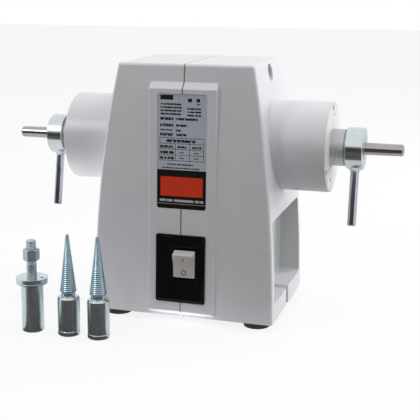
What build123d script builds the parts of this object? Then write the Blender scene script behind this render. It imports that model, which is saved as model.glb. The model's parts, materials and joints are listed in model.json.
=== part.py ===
"""Two-ended bench polishing motor with its set of three push-on spindles.

Millimetres. +X runs along the spindle to the right, +Y to the back, +Z up. The origin lies on the
bench under the middle of the whole set, so the spindle's upright plane stands at y = MACHINE_Y.
"""
import math
import os

from build123d import *

# Casting
BASE_WIDTH = 181.0
TOP_WIDTH = 134.0
FLANK_BULGE = 6.2
BASE_DEPTH = 138.0
TOP_DEPTH = 116.0
FACE_BULGE = 3.6
BODY_HEIGHT = 245.0
FOOT_HEIGHT = 7.0
WALL = 5.0
EDGE_RADIUS = 3.0
SEAM_CHAMFER = 0.6
NOTCH_WIDTH = 3.2
NOTCH_HEIGHT = 5.0

# Motor barrels and end covers
AXIS_DROP = 81.5
BARREL_DIAMETER = 88.0
BARREL_SPAN = 264.0
BARREL_BORE = 70.0
BARREL_CLEARANCE = 4.0
BARREL_CHAMFER = 0.8
COVER_PLATE = 6.0
COVER_RIM = 2.0
COVER_SCREW_PITCH_DIAMETER = 77.0
COVER_SCREW_COUNT = 3
COVER_SCREW_THREAD = 3.0
COVER_SCREW_HEAD = 5.6
COVER_SCREW_LENGTH = 14.0
GUARD_HOLE_PITCH_DIAMETER = 64.0
GUARD_HOLE_DIAMETER = 4.2
GUARD_HOLE_TURN = 12.0
SEAT_WALL = 4.0

# Front panel
PANEL_WIDTH = 68.0
PANEL_TOP_DROP = 23.0
PANEL_BOTTOM_RISE = 6.0
PANEL_PROUD_TOP = 5.5
PANEL_PROUD_BOTTOM = 3.5
PANEL_EDGE = 2.0

# Rating plate
LABEL_WIDTH = 49.0
LABEL_DROP = 4.5
LABEL_GAP = 25.0
LABEL_RECESS = 1.8
LABEL_THICKNESS = 1.0
LABEL_CORNER = 2.5

# Switch
PLATE_WIDTH = 49.4
PLATE_HEIGHT = 67.0
PLATE_RISE = 9.5
PLATE_RECESS = 1.2
PLATE_THICKNESS = 2.4
PLATE_CORNER = 2.0
PLATE_CHAMFER = 0.8
SWITCH_OFFSET = 4.7
SWITCH_RISE = 48.2
SWITCH_WIDTH = 25.0
SWITCH_HEIGHT = 32.0
SWITCH_DEPTH = 24.0
BEZEL_LIP = 1.5
BEZEL_THICKNESS = 1.2
ROCKER_WIDTH = 21.0
ROCKER_LENGTH = 24.0
ROCKER_RISE = 6.6
ROCKER_HOLLOW = 2.0
ROCKER_SKIRT = 2.0
ROCKER_SKIRT_LENGTH = 27.0
ROCKER_TILT = 12.0
ROCKER_PIVOT_DEPTH = 2.0
ROCKER_WELL = 10.0
ROCKER_PIN = 3.0
ROCKER_PIN_REACH = 1.2
ROCKER_SIDE_PLAY = 0.3
TERMINAL_WIDTH = 6.3
TERMINAL_THICKNESS = 0.8
TERMINAL_LENGTH = 9.0
TERMINAL_PITCH = 10.0

# Side pockets and bench slots
POCKET_INNER = 68.0
POCKET_SPAN = 120.0
POCKET_DROP = 64.8
FLANGE_HEIGHT = 18.3
POCKET_CORNER = 4.0
POCKET_ROUND = 2.5
SLOT_WIDTH = 10.0
SLOT_REACH = 20.0

# Clamp bolt across the seam
BOLT_DIAMETER = 8.0
BOLT_HEAD_DIAMETER = 13.0
BOLT_HEAD_HEIGHT = 8.0
BOLT_HOLE = 8.6
BOLT_RECESS = 17.0
BOLT_SEAT = 48.0
BOLT_SOCKET = 6.0
BOLT_TOP_DROP = 11.0
BOSS_WALL = 2.5
NUT_ACROSS_FLATS = 13.0
NUT_HEIGHT = 6.5

# Feet and base plate
FOOT_DIAMETER = 28.0
FOOT_TAPER = 3.0
FOOT_SPREAD_X = 143.0
FOOT_SPREAD_Y = 102.0
FOOT_SCREW_THREAD = 5.0
FOOT_SCREW_HEAD = 9.5
FOOT_SCREW_HEAD_HEIGHT = 2.5
FOOT_SCREW_GRIP = 2.5
FOOT_SCREW_ENGAGE = 14.0
BASE_PLATE_THICKNESS = 2.0
BASE_PLATE_GAP = 0.5
POST_DIAMETER = 12.0
POST_HEIGHT = 18.0
POST_BITE = 1.0
BASE_SCREW_THREAD = 4.0
BASE_SCREW_HEAD = 7.0
BASE_SCREW_HEAD_HEIGHT = 0.45
BASE_SCREW_ENGAGE = 10.0

# Motor
STATOR_DIAMETER = 100.0
STATOR_BORE = 56.8
STATOR_LENGTH = 70.0
WINDING_INNER = 62.0
WINDING_OUTER = 88.0
WINDING_REACH = 18.0
WINDING_ROUND = 5.0
CRADLE_WALL = 4.0
CRADLE_LENGTH = 20.0
CRADLE_SHOULDER = 4.0
BULKHEAD = 6.0
FIT = 0.05
AIR_GAP = 0.4
ROTOR_EXTRA = 2.0
END_RING_INNER = 32.0
END_RING_OUTER = 52.0
END_RING_LENGTH = 8.0

# Spindle shaft and bearings
TAPER_REACH = 37.0
SHAFT_CORE = 24.0
SHAFT_BODY = 22.0
SHAFT_NECK = 18.0
TAPER_ROOT = 12.0
TAPER_TIP = 11.3
TIP_CHAMFER = 1.5
BEARING_BORE = 20.0
BEARING_OUTER = 47.0
BEARING_WIDTH = 14.0
BEARING_PITCH = 33.5
BALL_DIAMETER = 7.6
BALL_COUNT = 8
BALL_PLAY = 0.15
RACE_GAP = 3.6
SPRING_HEIGHT = 1.0
SPRING_BAND = 3.0

# Threaded necks, release collars and levers
NECK_DIAMETER = 36.0
NECK_REACH = 25.0
NECK_BORE = 26.0
NECK_FLANGE = 3.0
SEAL_WIDTH = 6.0
SEAL_PLAY = 0.05
COLLAR_DIAMETER = 40.5
COLLAR_LENGTH = 16.5
COLLAR_GAP = 14.5
COLLAR_FRONT = 5.0
COLLAR_THREAD_PLAY = 0.1
COLLAR_CHAMFER = 1.0
RING_OUTER = 21.0
RING_PLAY = 0.3
RING_THICKNESS = 3.5
RING_PROUD = 0.6
LEVER_DIAMETER = 8.4
LEVER_REACH = 75.0
LEVER_TILT = 11.0
LEVER_CHAMFER = 0.8
LEVER_SCREWED = 5.0
LEVER_BOSS_ROOT = 13.0
LEVER_BOSS_TIP = 10.0
LEVER_BOSS_REACH = 24.5

# Electrical pieces behind the panel
INLET_RISE = 31.0
INLET_WIDTH = 50.0
INLET_HEIGHT = 24.0
INLET_FLANGE = 3.0
INLET_PROUD = 0.8
INLET_BODY_WIDTH = 28.0
INLET_BODY_HEIGHT = 20.0
INLET_BODY_DEPTH = 26.0
INLET_WELL_WIDTH = 24.0
INLET_WELL_HEIGHT = 16.0
INLET_WELL_DEPTH = 17.0
INLET_SCREW_PITCH = 40.0
INLET_SCREW_THREAD = 3.0
INLET_SCREW_HEAD = 5.6
INLET_SCREW_LENGTH = 9.0
PIN_WIDTH = 4.0
PIN_THICKNESS = 2.0
PIN_LENGTH = 15.0
PIN_PITCH = 7.0
PIN_RAISE = 4.0
CAPACITOR_DIAMETER = 36.0
CAPACITOR_LENGTH = 72.0
CAPACITOR_ROUND = 3.0
CLIP_BAND = 1.5
CLIP_WIDTH = 16.0
CLIP_FOOT = 14.0
TERMINAL_BLOCK_LENGTH = 40.0
TERMINAL_BLOCK_DEPTH = 20.0
TERMINAL_BLOCK_HEIGHT = 16.0
TERMINAL_BLOCK_CLEARANCE = 2.0
TERMINAL_BLOCK_POLES = 4
TERMINAL_BLOCK_HOLE = 3.6

# Loose spindle set
SET_ROW = 130.0
ARBOR_X = -129.2
TAPER_A_X = -91.8
TAPER_B_X = -61.5
SET_BODY_DIAMETER = 21.0
SET_BODY_CHAMFER = 1.5
SOCKET_DEPTH = 34.0
SOCKET_PLAY = 0.05
TAPER_BODY_HEIGHT = 38.0
TAPER_SHOULDER = 5.0
TAPER_UNDERCUT = 1.2
SCREW_TIP_HEIGHT = 97.5
SCREW_TIP_DIAMETER = 3.0
SCREW_A_ROOT = 15.6
SCREW_B_ROOT = 16.4
ARBOR_BODY_HEIGHT = 45.9
ARBOR_FLANGE_DIAMETER = 30.4
ARBOR_FLANGE = 3.4
ARBOR_WASHER = 3.6
ARBOR_WASHER_PLAY = 0.1
WASHER_HOLE = 3.0
WASHER_HOLE_RADIUS = 10.5
STUD_DIAMETER = 9.6
STUD_TOP = 89.0
STUD_PLAY = 0.1
ARBOR_NUT_FLATS = 13.6
ARBOR_NUT_HEIGHT = 11.0
ARBOR_NUT_RISE = 69.5

# Places worked out from the sizes above
BODY_BOTTOM = FOOT_HEIGHT
BODY_TOP = FOOT_HEIGHT + BODY_HEIGHT
AXIS_HEIGHT = BODY_TOP - AXIS_DROP
POCKET_TOP = AXIS_HEIGHT - POCKET_DROP
POCKET_FLOOR = BODY_BOTTOM + FLANGE_HEIGHT
INLET_FACE = BASE_DEPTH / 2 + INLET_PROUD
MACHINE_Y = (SET_ROW + ARBOR_FLANGE_DIAMETER / 2 - INLET_FACE) / 2
SET_Y = MACHINE_Y - SET_ROW
BARREL_END = BARREL_SPAN / 2
COVER_SEAT = BARREL_END - COVER_PLATE
COVER_RADIUS = BARREL_DIAMETER / 2 - COVER_RIM
STATOR_END = STATOR_LENGTH / 2
BARREL_ROOT = STATOR_END + WINDING_REACH + BARREL_CLEARANCE
NECK_BACK = COVER_SEAT - NECK_FLANGE
BEARING_FRONT = NECK_BACK - SPRING_HEIGHT
BEARING_BACK = BEARING_FRONT - BEARING_WIDTH
NECK_END = BARREL_END + NECK_REACH
COLLAR_START = BARREL_END + COLLAR_GAP
COLLAR_END = COLLAR_START + COLLAR_LENGTH
COLLAR_MIDDLE = COLLAR_START + COLLAR_LENGTH / 2
TAPER_START = COLLAR_END - COLLAR_FRONT
SPINDLE_TIP = COLLAR_END + TAPER_REACH
PLATE_FLOOR = BODY_BOTTOM + BASE_PLATE_GAP
PLATE_TOP = PLATE_FLOOR + BASE_PLATE_THICKNESS
LOWER_WALL = POCKET_INNER - WALL
PANEL_TOP = BODY_TOP - PANEL_TOP_DROP
PANEL_BOTTOM = BODY_BOTTOM + PANEL_BOTTOM_RISE
LABEL_RISE = PLATE_RISE + PLATE_HEIGHT + LABEL_GAP
LABEL_HEIGHT = PANEL_TOP - PANEL_BOTTOM - LABEL_DROP - LABEL_RISE
TOP_BOLT = (0, BODY_TOP - BOLT_TOP_DROP)
POST_X = LOWER_WALL - POST_DIAMETER / 2 + POST_BITE
POST_Y = BASE_DEPTH / 2 - WALL - POST_DIAMETER / 2 + POST_BITE
TERMINAL_BLOCK_X = LOWER_WALL - WALL - TERMINAL_BLOCK_DEPTH / 2
TERMINAL_BLOCK_Y = POST_Y - POST_DIAMETER / 2 - TERMINAL_BLOCK_CLEARANCE - TERMINAL_BLOCK_LENGTH / 2

# Working planes and axes
spindle_axis = Axis((0, MACHINE_Y, AXIS_HEIGHT), (1, 0, 0))
turning = Plane((0, MACHINE_Y, AXIS_HEIGHT), x_dir=(1, 0, 0), z_dir=(0, -1, 0))
upright = Plane((0, MACHINE_Y, 0), x_dir=(1, 0, 0), z_dir=(0, -1, 0))


def across(x):
    """Plane square to the spindle at x: local x runs to the back, local y runs up from the bench."""
    return Plane((x, MACHINE_Y, 0), x_dir=(0, 1, 0), z_dir=(1, 0, 0))


def on_axis(x):
    """Plane square to the spindle at x, centred on the spindle."""
    return Plane((x, MACHINE_Y, AXIS_HEIGHT), x_dir=(0, 1, 0), z_dir=(1, 0, 0))


def level(z):
    """Horizontal plane at height z under the machine."""
    return Plane((0, MACHINE_Y, z))


def turned(outline):
    """Turn an outline of (along the spindle, radius) points round the spindle axis."""
    with BuildSketch(turning) as half:
        with BuildLine():
            Polyline(*outline, close=True)
        make_face()
    revolve(half.sketch, axis=spindle_axis)


def ring(start, end, bore, rim):
    """Turn a plain ring between two places along the spindle."""
    turned([(start, bore / 2), (end, bore / 2), (end, rim / 2), (start, rim / 2)])


def mirror_left(side):
    """Keep a right-hand piece, or turn it into its left-hand twin."""
    if side == "left":
        mirror(about=Plane.YZ, mode=Mode.REPLACE)


def finish(builder, name):
    """Label a finished piece and write it to its file."""
    builder.part.label = name
    export_step(builder.part, f"parts/{name}.step")


def bow_middle(low, high, bottom, top, bulge):
    """Middle point of a bowed side that leans from (low, bottom) to (high, top)."""
    run = math.hypot(high - low, top - bottom)
    return (
        (low + high) / 2 + bulge * (top - bottom) / run,
        (bottom + top) / 2 + bulge * (low - high) / run,
    )


def bow_at(low, high, bottom, top, bulge, z):
    """Half size of the same bowed side at height z."""
    run = math.hypot(high - low, top - bottom)
    radius = (run ** 2 / 4 + bulge ** 2) / (2 * bulge)
    middle = bow_middle(low, high, bottom, top, bulge - radius)
    return middle[0] + math.sqrt(radius ** 2 - (z - middle[1]) ** 2)


def face_at(z):
    """Half depth of the casting at height z."""
    return bow_at(BASE_DEPTH / 2, TOP_DEPTH / 2, BODY_BOTTOM, BODY_TOP, FACE_BULGE, z)


def bowed_form(inset):
    """Right half of the casting's form, drawn in by inset at the sides and the top."""
    top = BODY_TOP - inset
    half_width = (BASE_WIDTH / 2 - inset, TOP_WIDTH / 2 - inset)
    half_depth = (BASE_DEPTH / 2 - inset, TOP_DEPTH / 2 - inset)
    flank = bow_middle(*half_width, BODY_BOTTOM, top, FLANK_BULGE)
    face = bow_middle(*half_depth, BODY_BOTTOM, top, FACE_BULGE)
    with BuildSketch(upright) as front_outline:
        with BuildLine():
            Polyline((half_width[1], top), (0, top), (0, BODY_BOTTOM), (half_width[0], BODY_BOTTOM))
            ThreePointArc((half_width[0], BODY_BOTTOM), flank, (half_width[1], top))
        make_face()
    with BuildSketch(across(0)) as side_outline:
        with BuildLine():
            Line((-half_depth[0], BODY_BOTTOM), (half_depth[0], BODY_BOTTOM))
            ThreePointArc((half_depth[0], BODY_BOTTOM), face, (half_depth[1], top))
            Line((half_depth[1], top), (-half_depth[1], top))
            ThreePointArc((-half_depth[1], top), (-face[0], face[1]), (-half_depth[0], BODY_BOTTOM))
        make_face()
    extrude(front_outline.sketch, amount=BASE_DEPTH, both=True)
    extrude(side_outline.sketch, amount=BASE_WIDTH, mode=Mode.INTERSECT)


# The raised panel is flat and leans a little, so it has a plane of its own
PANEL_HEAD = (-face_at(PANEL_TOP) - PANEL_PROUD_TOP, PANEL_TOP)
PANEL_FOOT = (-face_at(PANEL_BOTTOM) - PANEL_PROUD_BOTTOM, PANEL_BOTTOM)
PANEL_LEAN = math.atan2(PANEL_HEAD[0] - PANEL_FOOT[0], PANEL_TOP - PANEL_BOTTOM)
panel_plane = Plane(
    (0, MACHINE_Y + PANEL_FOOT[0], PANEL_FOOT[1]),
    x_dir=(1, 0, 0),
    z_dir=(0, -math.cos(PANEL_LEAN), math.sin(PANEL_LEAN)),
)
back_plane = Plane((0, MACHINE_Y + INLET_FACE, BODY_BOTTOM + INLET_RISE), x_dir=(-1, 0, 0), z_dir=(0, 1, 0))

os.makedirs("parts", exist_ok=True)

# Hollow of one housing half, with the metal that stays inside it left out
with BuildPart() as hollow:
    bowed_form(WALL)
    with BuildSketch(upright):
        with Locations((LOWER_WALL, 0)):
            Rectangle(BASE_WIDTH, POCKET_TOP + WALL, align=(Align.MIN, Align.MIN))
    extrude(amount=BASE_DEPTH, both=True, mode=Mode.SUBTRACT)
    with BuildSketch(across(STATOR_END)):
        with Locations((0, POCKET_TOP)):
            Rectangle(BASE_DEPTH, BODY_HEIGHT, align=(Align.CENTER, Align.MIN))
        with Locations((0, AXIS_HEIGHT)):
            Circle(STATOR_DIAMETER / 2 - CRADLE_SHOULDER, mode=Mode.SUBTRACT)
    extrude(amount=BULKHEAD, mode=Mode.SUBTRACT)
    with BuildSketch(on_axis(STATOR_END - CRADLE_LENGTH)):
        Circle(STATOR_DIAMETER / 2 + CRADLE_WALL)
        Circle(STATOR_DIAMETER / 2 + FIT, mode=Mode.SUBTRACT)
    extrude(amount=CRADLE_LENGTH, mode=Mode.SUBTRACT)
    with BuildSketch(across(0)):
        with Locations(TOP_BOLT):
            Circle(BOLT_RECESS / 2 + BOSS_WALL)
    extrude(amount=BASE_WIDTH, mode=Mode.SUBTRACT)
    with BuildSketch(level(PLATE_TOP)):
        with Locations((POST_X, -POST_Y), (POST_X, POST_Y)):
            Circle(POST_DIAMETER / 2)
    extrude(amount=POST_HEIGHT, mode=Mode.SUBTRACT)

# Side pocket with rounded corners, run out past the flank
with BuildPart() as side_pocket:
    with BuildSketch(across(POCKET_INNER)):
        with Locations((0, (POCKET_FLOOR + POCKET_TOP) / 2)):
            RectangleRounded(POCKET_SPAN, POCKET_TOP - POCKET_FLOOR, POCKET_CORNER)
    extrude(amount=BASE_WIDTH)
    fillet(side_pocket.faces().sort_by(Axis.X)[0].edges(), POCKET_ROUND)

# Right housing half as cast and bored; the left one is its mirror image
with BuildPart() as casting:
    bowed_form(0)
    outer_edges = [
        edge for edge in casting.edges()
        if edge.center().X > EDGE_RADIUS and edge.center().Z > BODY_BOTTOM + EDGE_RADIUS
    ]
    fillet(outer_edges, EDGE_RADIUS)
    with BuildSketch(across(0)):
        panel_back = -TOP_DEPTH / 2 + WALL
        top_bevel = panel_back - PANEL_HEAD[0]
        foot_bevel = PANEL_PROUD_BOTTOM + SEAM_CHAMFER
        with BuildLine():
            Polyline(
                PANEL_HEAD,
                PANEL_FOOT,
                (PANEL_FOOT[0] + foot_bevel, PANEL_FOOT[1] - foot_bevel),
                (panel_back, PANEL_FOOT[1] - foot_bevel),
                (panel_back, PANEL_HEAD[1] + top_bevel),
                close=True,
            )
        make_face()
    extrude(amount=PANEL_WIDTH / 2)
    panel_side = casting.edges().filter_by_position(Axis.X, PANEL_WIDTH / 2, PANEL_WIDTH / 2).filter_by(GeomType.LINE)
    level_edges = casting.edges().filter_by(Axis.X)
    panel_ends = [
        level_edges.sort_by_distance((PANEL_WIDTH / 4, *corner))[0] for corner in (PANEL_HEAD, PANEL_FOOT)
    ]
    fillet([*panel_side, *panel_ends], PANEL_EDGE)
    seam_edges = [
        edge for edge in casting.edges()
        if abs(edge.center().X) < FIT and edge.center().Z > BODY_BOTTOM + FIT
    ]
    chamfer(seam_edges, SEAM_CHAMFER)
    add(hollow.part, mode=Mode.SUBTRACT)
    with BuildSketch(on_axis(BARREL_ROOT)):
        Circle(BARREL_DIAMETER / 2 + FIT)
    extrude(amount=BARREL_END, mode=Mode.SUBTRACT)
    add(side_pocket.part, mode=Mode.SUBTRACT)
    with BuildSketch(level(BODY_BOTTOM)):
        with Locations((BASE_WIDTH / 2 - SLOT_REACH + SLOT_WIDTH / 2, 0)):
            Circle(SLOT_WIDTH / 2)
            Rectangle(SLOT_REACH, SLOT_WIDTH, align=(Align.MIN, Align.CENTER))
    extrude(amount=POCKET_FLOOR - BODY_BOTTOM + POCKET_CORNER, mode=Mode.SUBTRACT)
    with BuildSketch(across(0)):
        with Locations(TOP_BOLT):
            Circle(BOLT_HOLE / 2)
    extrude(amount=POCKET_INNER, mode=Mode.SUBTRACT)
    with BuildSketch(across(BOLT_SEAT)):
        with Locations(TOP_BOLT):
            Circle(BOLT_RECESS / 2)
    extrude(amount=BASE_WIDTH, mode=Mode.SUBTRACT)
    with BuildSketch(level(BODY_BOTTOM)):
        with Locations((FOOT_SPREAD_X / 2, -FOOT_SPREAD_Y / 2), (FOOT_SPREAD_X / 2, FOOT_SPREAD_Y / 2)):
            Circle(FOOT_SCREW_THREAD / 2)
    extrude(amount=FOOT_SCREW_ENGAGE, mode=Mode.SUBTRACT)
    with BuildSketch(level(PLATE_TOP)):
        with Locations((POST_X, -POST_Y), (POST_X, POST_Y)):
            Circle(BASE_SCREW_THREAD / 2)
    extrude(amount=BASE_SCREW_ENGAGE, mode=Mode.SUBTRACT)
    with BuildSketch(panel_plane):
        with Locations((0, LABEL_RISE + LABEL_HEIGHT / 2)):
            RectangleRounded(LABEL_WIDTH + 2 * FIT, LABEL_HEIGHT + 2 * FIT, LABEL_CORNER)
    extrude(amount=-LABEL_RECESS, mode=Mode.SUBTRACT)
    with BuildSketch(panel_plane):
        with Locations((0, PLATE_RISE + PLATE_HEIGHT / 2)):
            RectangleRounded(PLATE_WIDTH + 2 * FIT, PLATE_HEIGHT + 2 * FIT, PLATE_CORNER)
    extrude(amount=-PLATE_RECESS, mode=Mode.SUBTRACT)
    with BuildSketch(panel_plane):
        with Locations((0, SWITCH_RISE)):
            Rectangle(SWITCH_WIDTH + 2 * SWITCH_OFFSET + 2 * FIT, SWITCH_HEIGHT + 2 * FIT)
    extrude(amount=-SWITCH_DEPTH, mode=Mode.SUBTRACT)
    with BuildSketch(back_plane):
        Rectangle(INLET_WIDTH + 2 * FIT, INLET_HEIGHT + 2 * FIT)
    extrude(amount=-INLET_FLANGE, mode=Mode.SUBTRACT)
    with BuildSketch(back_plane):
        Rectangle(INLET_BODY_WIDTH + 2 * FIT, INLET_BODY_HEIGHT + 2 * FIT)
    extrude(amount=-INLET_BODY_DEPTH, mode=Mode.SUBTRACT)
    with BuildSketch(back_plane):
        with GridLocations(INLET_SCREW_PITCH, 0, 2, 1):
            Circle(INLET_SCREW_THREAD / 2)
    extrude(amount=-INLET_SCREW_LENGTH - INLET_FLANGE, mode=Mode.SUBTRACT)
    with BuildSketch(upright):
        with BuildLine():
            Polyline(
                (-NOTCH_WIDTH / 2, BODY_BOTTOM),
                (NOTCH_WIDTH / 2, BODY_BOTTOM),
                (0, BODY_BOTTOM + NOTCH_HEIGHT),
                close=True,
            )
        make_face()
    extrude(amount=BASE_DEPTH, mode=Mode.SUBTRACT)

for side in ("left", "right"):
    with BuildPart() as housing:
        add(casting.part)
        mirror_left(side)
    finish(housing, f"{side}_housing")

# Motor barrels pushed through the flanks, end covers with the bearing seats, and what sits in them
seat = BEARING_OUTER / 2
neck = NECK_DIAMETER / 2
for side in ("left", "right"):
    with BuildPart() as barrel:
        rim = BARREL_DIAMETER / 2
        turned([
            (BARREL_ROOT, BARREL_BORE / 2), (COVER_SEAT, BARREL_BORE / 2), (COVER_SEAT, COVER_RADIUS),
            (BARREL_END, COVER_RADIUS), (BARREL_END, rim - BARREL_CHAMFER), (BARREL_END - BARREL_CHAMFER, rim),
            (BARREL_ROOT, rim),
        ])
        with BuildSketch(on_axis(COVER_SEAT)):
            with PolarLocations(COVER_SCREW_PITCH_DIAMETER / 2, COVER_SCREW_COUNT, start_angle=90):
                Circle(COVER_SCREW_THREAD / 2)
        extrude(amount=COVER_PLATE - COVER_SCREW_LENGTH - FIT, mode=Mode.SUBTRACT)
        mirror_left(side)
    finish(barrel, f"{side}_barrel")

    with BuildPart() as end_cover:
        turned([
            (BEARING_BACK, seat + FIT), (COVER_SEAT, seat + FIT), (COVER_SEAT, neck + FIT),
            (BARREL_END, neck + FIT), (BARREL_END, COVER_RADIUS - FIT), (COVER_SEAT, COVER_RADIUS - FIT),
            (COVER_SEAT, seat + SEAT_WALL), (BEARING_BACK, seat + SEAT_WALL),
        ])
        with Locations(on_axis(BARREL_END)):
            with PolarLocations(COVER_SCREW_PITCH_DIAMETER / 2, COVER_SCREW_COUNT, start_angle=90):
                CounterSinkHole(COVER_SCREW_THREAD / 2 + FIT, COVER_SCREW_HEAD / 2 + FIT)
            with PolarLocations(GUARD_HOLE_PITCH_DIAMETER / 2, 2, start_angle=90 - GUARD_HOLE_TURN):
                Hole(GUARD_HOLE_DIAMETER / 2)
        mirror_left(side)
    finish(end_cover, f"{side}_end_cover")

    with BuildPart() as threaded_neck:
        turned([
            (NECK_BACK, NECK_BORE / 2), (NECK_END, NECK_BORE / 2), (NECK_END, neck), (COVER_SEAT, neck),
            (COVER_SEAT, seat - FIT), (NECK_BACK, seat - FIT),
        ])
        mirror_left(side)
    finish(threaded_neck, f"{side}_threaded_neck")

    with BuildPart() as shaft_seal:
        ring(COVER_SEAT, COVER_SEAT + SEAL_WIDTH, SHAFT_NECK + 2 * SEAL_PLAY, NECK_BORE)
        mirror_left(side)
    finish(shaft_seal, f"{side}_shaft_seal")

    with BuildPart() as bearing_outer:
        ring(BEARING_BACK, BEARING_FRONT, BEARING_PITCH + RACE_GAP, BEARING_OUTER)
        with Locations(on_axis((BEARING_BACK + BEARING_FRONT) / 2)):
            Torus(BEARING_PITCH / 2, BALL_DIAMETER / 2 + BALL_PLAY, mode=Mode.SUBTRACT)
        mirror_left(side)
    finish(bearing_outer, f"{side}_bearing_outer")

    with BuildPart() as bearing_inner:
        ring(BEARING_BACK, BEARING_FRONT, BEARING_BORE, BEARING_PITCH - RACE_GAP)
        with Locations(on_axis((BEARING_BACK + BEARING_FRONT) / 2)):
            Torus(BEARING_PITCH / 2, BALL_DIAMETER / 2 + BALL_PLAY, mode=Mode.SUBTRACT)
        mirror_left(side)
    finish(bearing_inner, f"{side}_bearing_inner")

    with BuildPart() as bearing_balls:
        with Locations(on_axis((BEARING_BACK + BEARING_FRONT) / 2)):
            with PolarLocations(BEARING_PITCH / 2, BALL_COUNT):
                Sphere(BALL_DIAMETER / 2)
        mirror_left(side)
    finish(bearing_balls, f"{side}_bearing_balls")

    with BuildPart() as spacer:
        ring(BEARING_FRONT, NECK_BACK, BEARING_OUTER - 2 * SPRING_BAND, BEARING_OUTER - 4 * FIT)
        mirror_left(side)
    finish(spacer, {"left": "wave_spring", "right": "bearing_shim"}[side])

    with BuildPart() as thrust_ring:
        ring_face = COLLAR_END + RING_PROUD
        ring(ring_face - RING_THICKNESS, ring_face, TAPER_ROOT + 2 * RING_PLAY, RING_OUTER)
        mirror_left(side)
    finish(thrust_ring, f"{side}_thrust_ring")

    lever_line = Plane(
        (COLLAR_MIDDLE, MACHINE_Y, AXIS_HEIGHT),
        x_dir=(1, 0, 0),
        z_dir=(0, -math.sin(math.radians(LEVER_TILT)), -math.cos(math.radians(LEVER_TILT))),
    )
    with BuildPart() as release_collar:
        with BuildSketch(lever_line):
            Circle(LEVER_BOSS_ROOT / 2)
        with BuildSketch(lever_line.offset(LEVER_BOSS_REACH)):
            Circle(LEVER_BOSS_TIP / 2)
        loft()
        with BuildSketch(on_axis(COLLAR_START)):
            Circle(COLLAR_DIAMETER / 2)
        extrude(amount=COLLAR_LENGTH)
        rims = [
            edge for edge in release_collar.edges().filter_by(GeomType.CIRCLE)
            if abs(edge.radius - COLLAR_DIAMETER / 2) < FIT and abs(edge.center().Z - AXIS_HEIGHT) < FIT
        ]
        chamfer(rims, COLLAR_CHAMFER)
        with BuildSketch(on_axis(COLLAR_START)):
            Circle(NECK_DIAMETER / 2 + COLLAR_THREAD_PLAY)
        extrude(amount=COLLAR_LENGTH - COLLAR_FRONT, mode=Mode.SUBTRACT)
        with BuildSketch(on_axis(COLLAR_END + RING_PROUD - RING_THICKNESS)):
            Circle(RING_OUTER / 2 + FIT)
        extrude(amount=RING_THICKNESS, mode=Mode.SUBTRACT)
        with BuildSketch(on_axis(COLLAR_START)):
            Circle(TAPER_ROOT / 2 + RING_PLAY)
        extrude(amount=COLLAR_LENGTH, mode=Mode.SUBTRACT)
        with BuildSketch(lever_line.offset(LEVER_BOSS_REACH)):
            Circle(LEVER_DIAMETER / 2 + FIT)
        extrude(amount=-LEVER_SCREWED, mode=Mode.SUBTRACT)
        mirror_left(side)
    finish(release_collar, f"{side}_release_collar")

    with BuildPart() as lever_rod:
        with BuildSketch(lever_line.offset(LEVER_BOSS_REACH - LEVER_SCREWED)):
            Circle(LEVER_DIAMETER / 2)
        extrude(amount=LEVER_REACH - LEVER_BOSS_REACH + LEVER_SCREWED)
        chamfer(lever_rod.edges().sort_by(Axis.Z)[0], LEVER_CHAMFER)
        mirror_left(side)
    finish(lever_rod, f"{side}_lever_rod")

with BuildPart() as end_cover_screws:
    with Locations(on_axis(BARREL_END)):
        with PolarLocations(COVER_SCREW_PITCH_DIAMETER / 2, COVER_SCREW_COUNT, start_angle=90):
            cone = (COVER_SCREW_HEAD - COVER_SCREW_THREAD) / 2
            Cone(COVER_SCREW_THREAD / 2, COVER_SCREW_HEAD / 2, cone, align=(Align.CENTER, Align.CENTER, Align.MAX))
            Cylinder(
                COVER_SCREW_THREAD / 2, COVER_SCREW_LENGTH, align=(Align.CENTER, Align.CENTER, Align.MAX)
            )
    mirror(about=Plane.YZ)
finish(end_cover_screws, "end_cover_screws")

# Rotating spindle
with BuildPart() as spindle_shaft:
    half_outline = [
        (0, SHAFT_CORE / 2),
        (STATOR_END + ROTOR_EXTRA, SHAFT_CORE / 2),
        (STATOR_END + ROTOR_EXTRA, SHAFT_BODY / 2),
        (BEARING_BACK, SHAFT_BODY / 2),
        (BEARING_BACK, BEARING_BORE / 2 - FIT / 5),
        (BEARING_FRONT, BEARING_BORE / 2 - FIT / 5),
        (BEARING_FRONT, SHAFT_NECK / 2),
        (TAPER_START - RING_THICKNESS, SHAFT_NECK / 2),
        (TAPER_START - RING_THICKNESS, TAPER_ROOT / 2),
        (SPINDLE_TIP - TIP_CHAMFER, TAPER_TIP / 2),
        (SPINDLE_TIP, TAPER_TIP / 2 - TIP_CHAMFER),
        (SPINDLE_TIP, 0),
        (0, 0),
    ]
    turned(half_outline)
    mirror(about=Plane.YZ)
finish(spindle_shaft, "spindle_shaft")

with BuildPart() as rotor_core:
    reach = STATOR_END + ROTOR_EXTRA
    ring(-reach, reach, SHAFT_CORE, STATOR_BORE - 2 * AIR_GAP)
finish(rotor_core, "rotor_core")

with BuildPart() as rotor_end_rings:
    ring(reach, reach + END_RING_LENGTH, END_RING_INNER, END_RING_OUTER)
    mirror(about=Plane.YZ)
finish(rotor_end_rings, "rotor_end_rings")

# Stator
with BuildPart() as stator_core:
    ring(-STATOR_END, STATOR_END, STATOR_BORE, STATOR_DIAMETER)
finish(stator_core, "stator_core")

with BuildPart() as stator_windings:
    with BuildSketch(turning) as winding:
        with Locations((STATOR_END, (WINDING_INNER + WINDING_OUTER) / 4)):
            Rectangle(WINDING_REACH, (WINDING_OUTER - WINDING_INNER) / 2, align=(Align.MIN, Align.CENTER))
        fillet(winding.vertices().group_by(Axis.X)[-1], WINDING_ROUND)
    revolve(axis=spindle_axis)
    mirror(about=Plane.YZ)
finish(stator_windings, "stator_windings")

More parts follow.
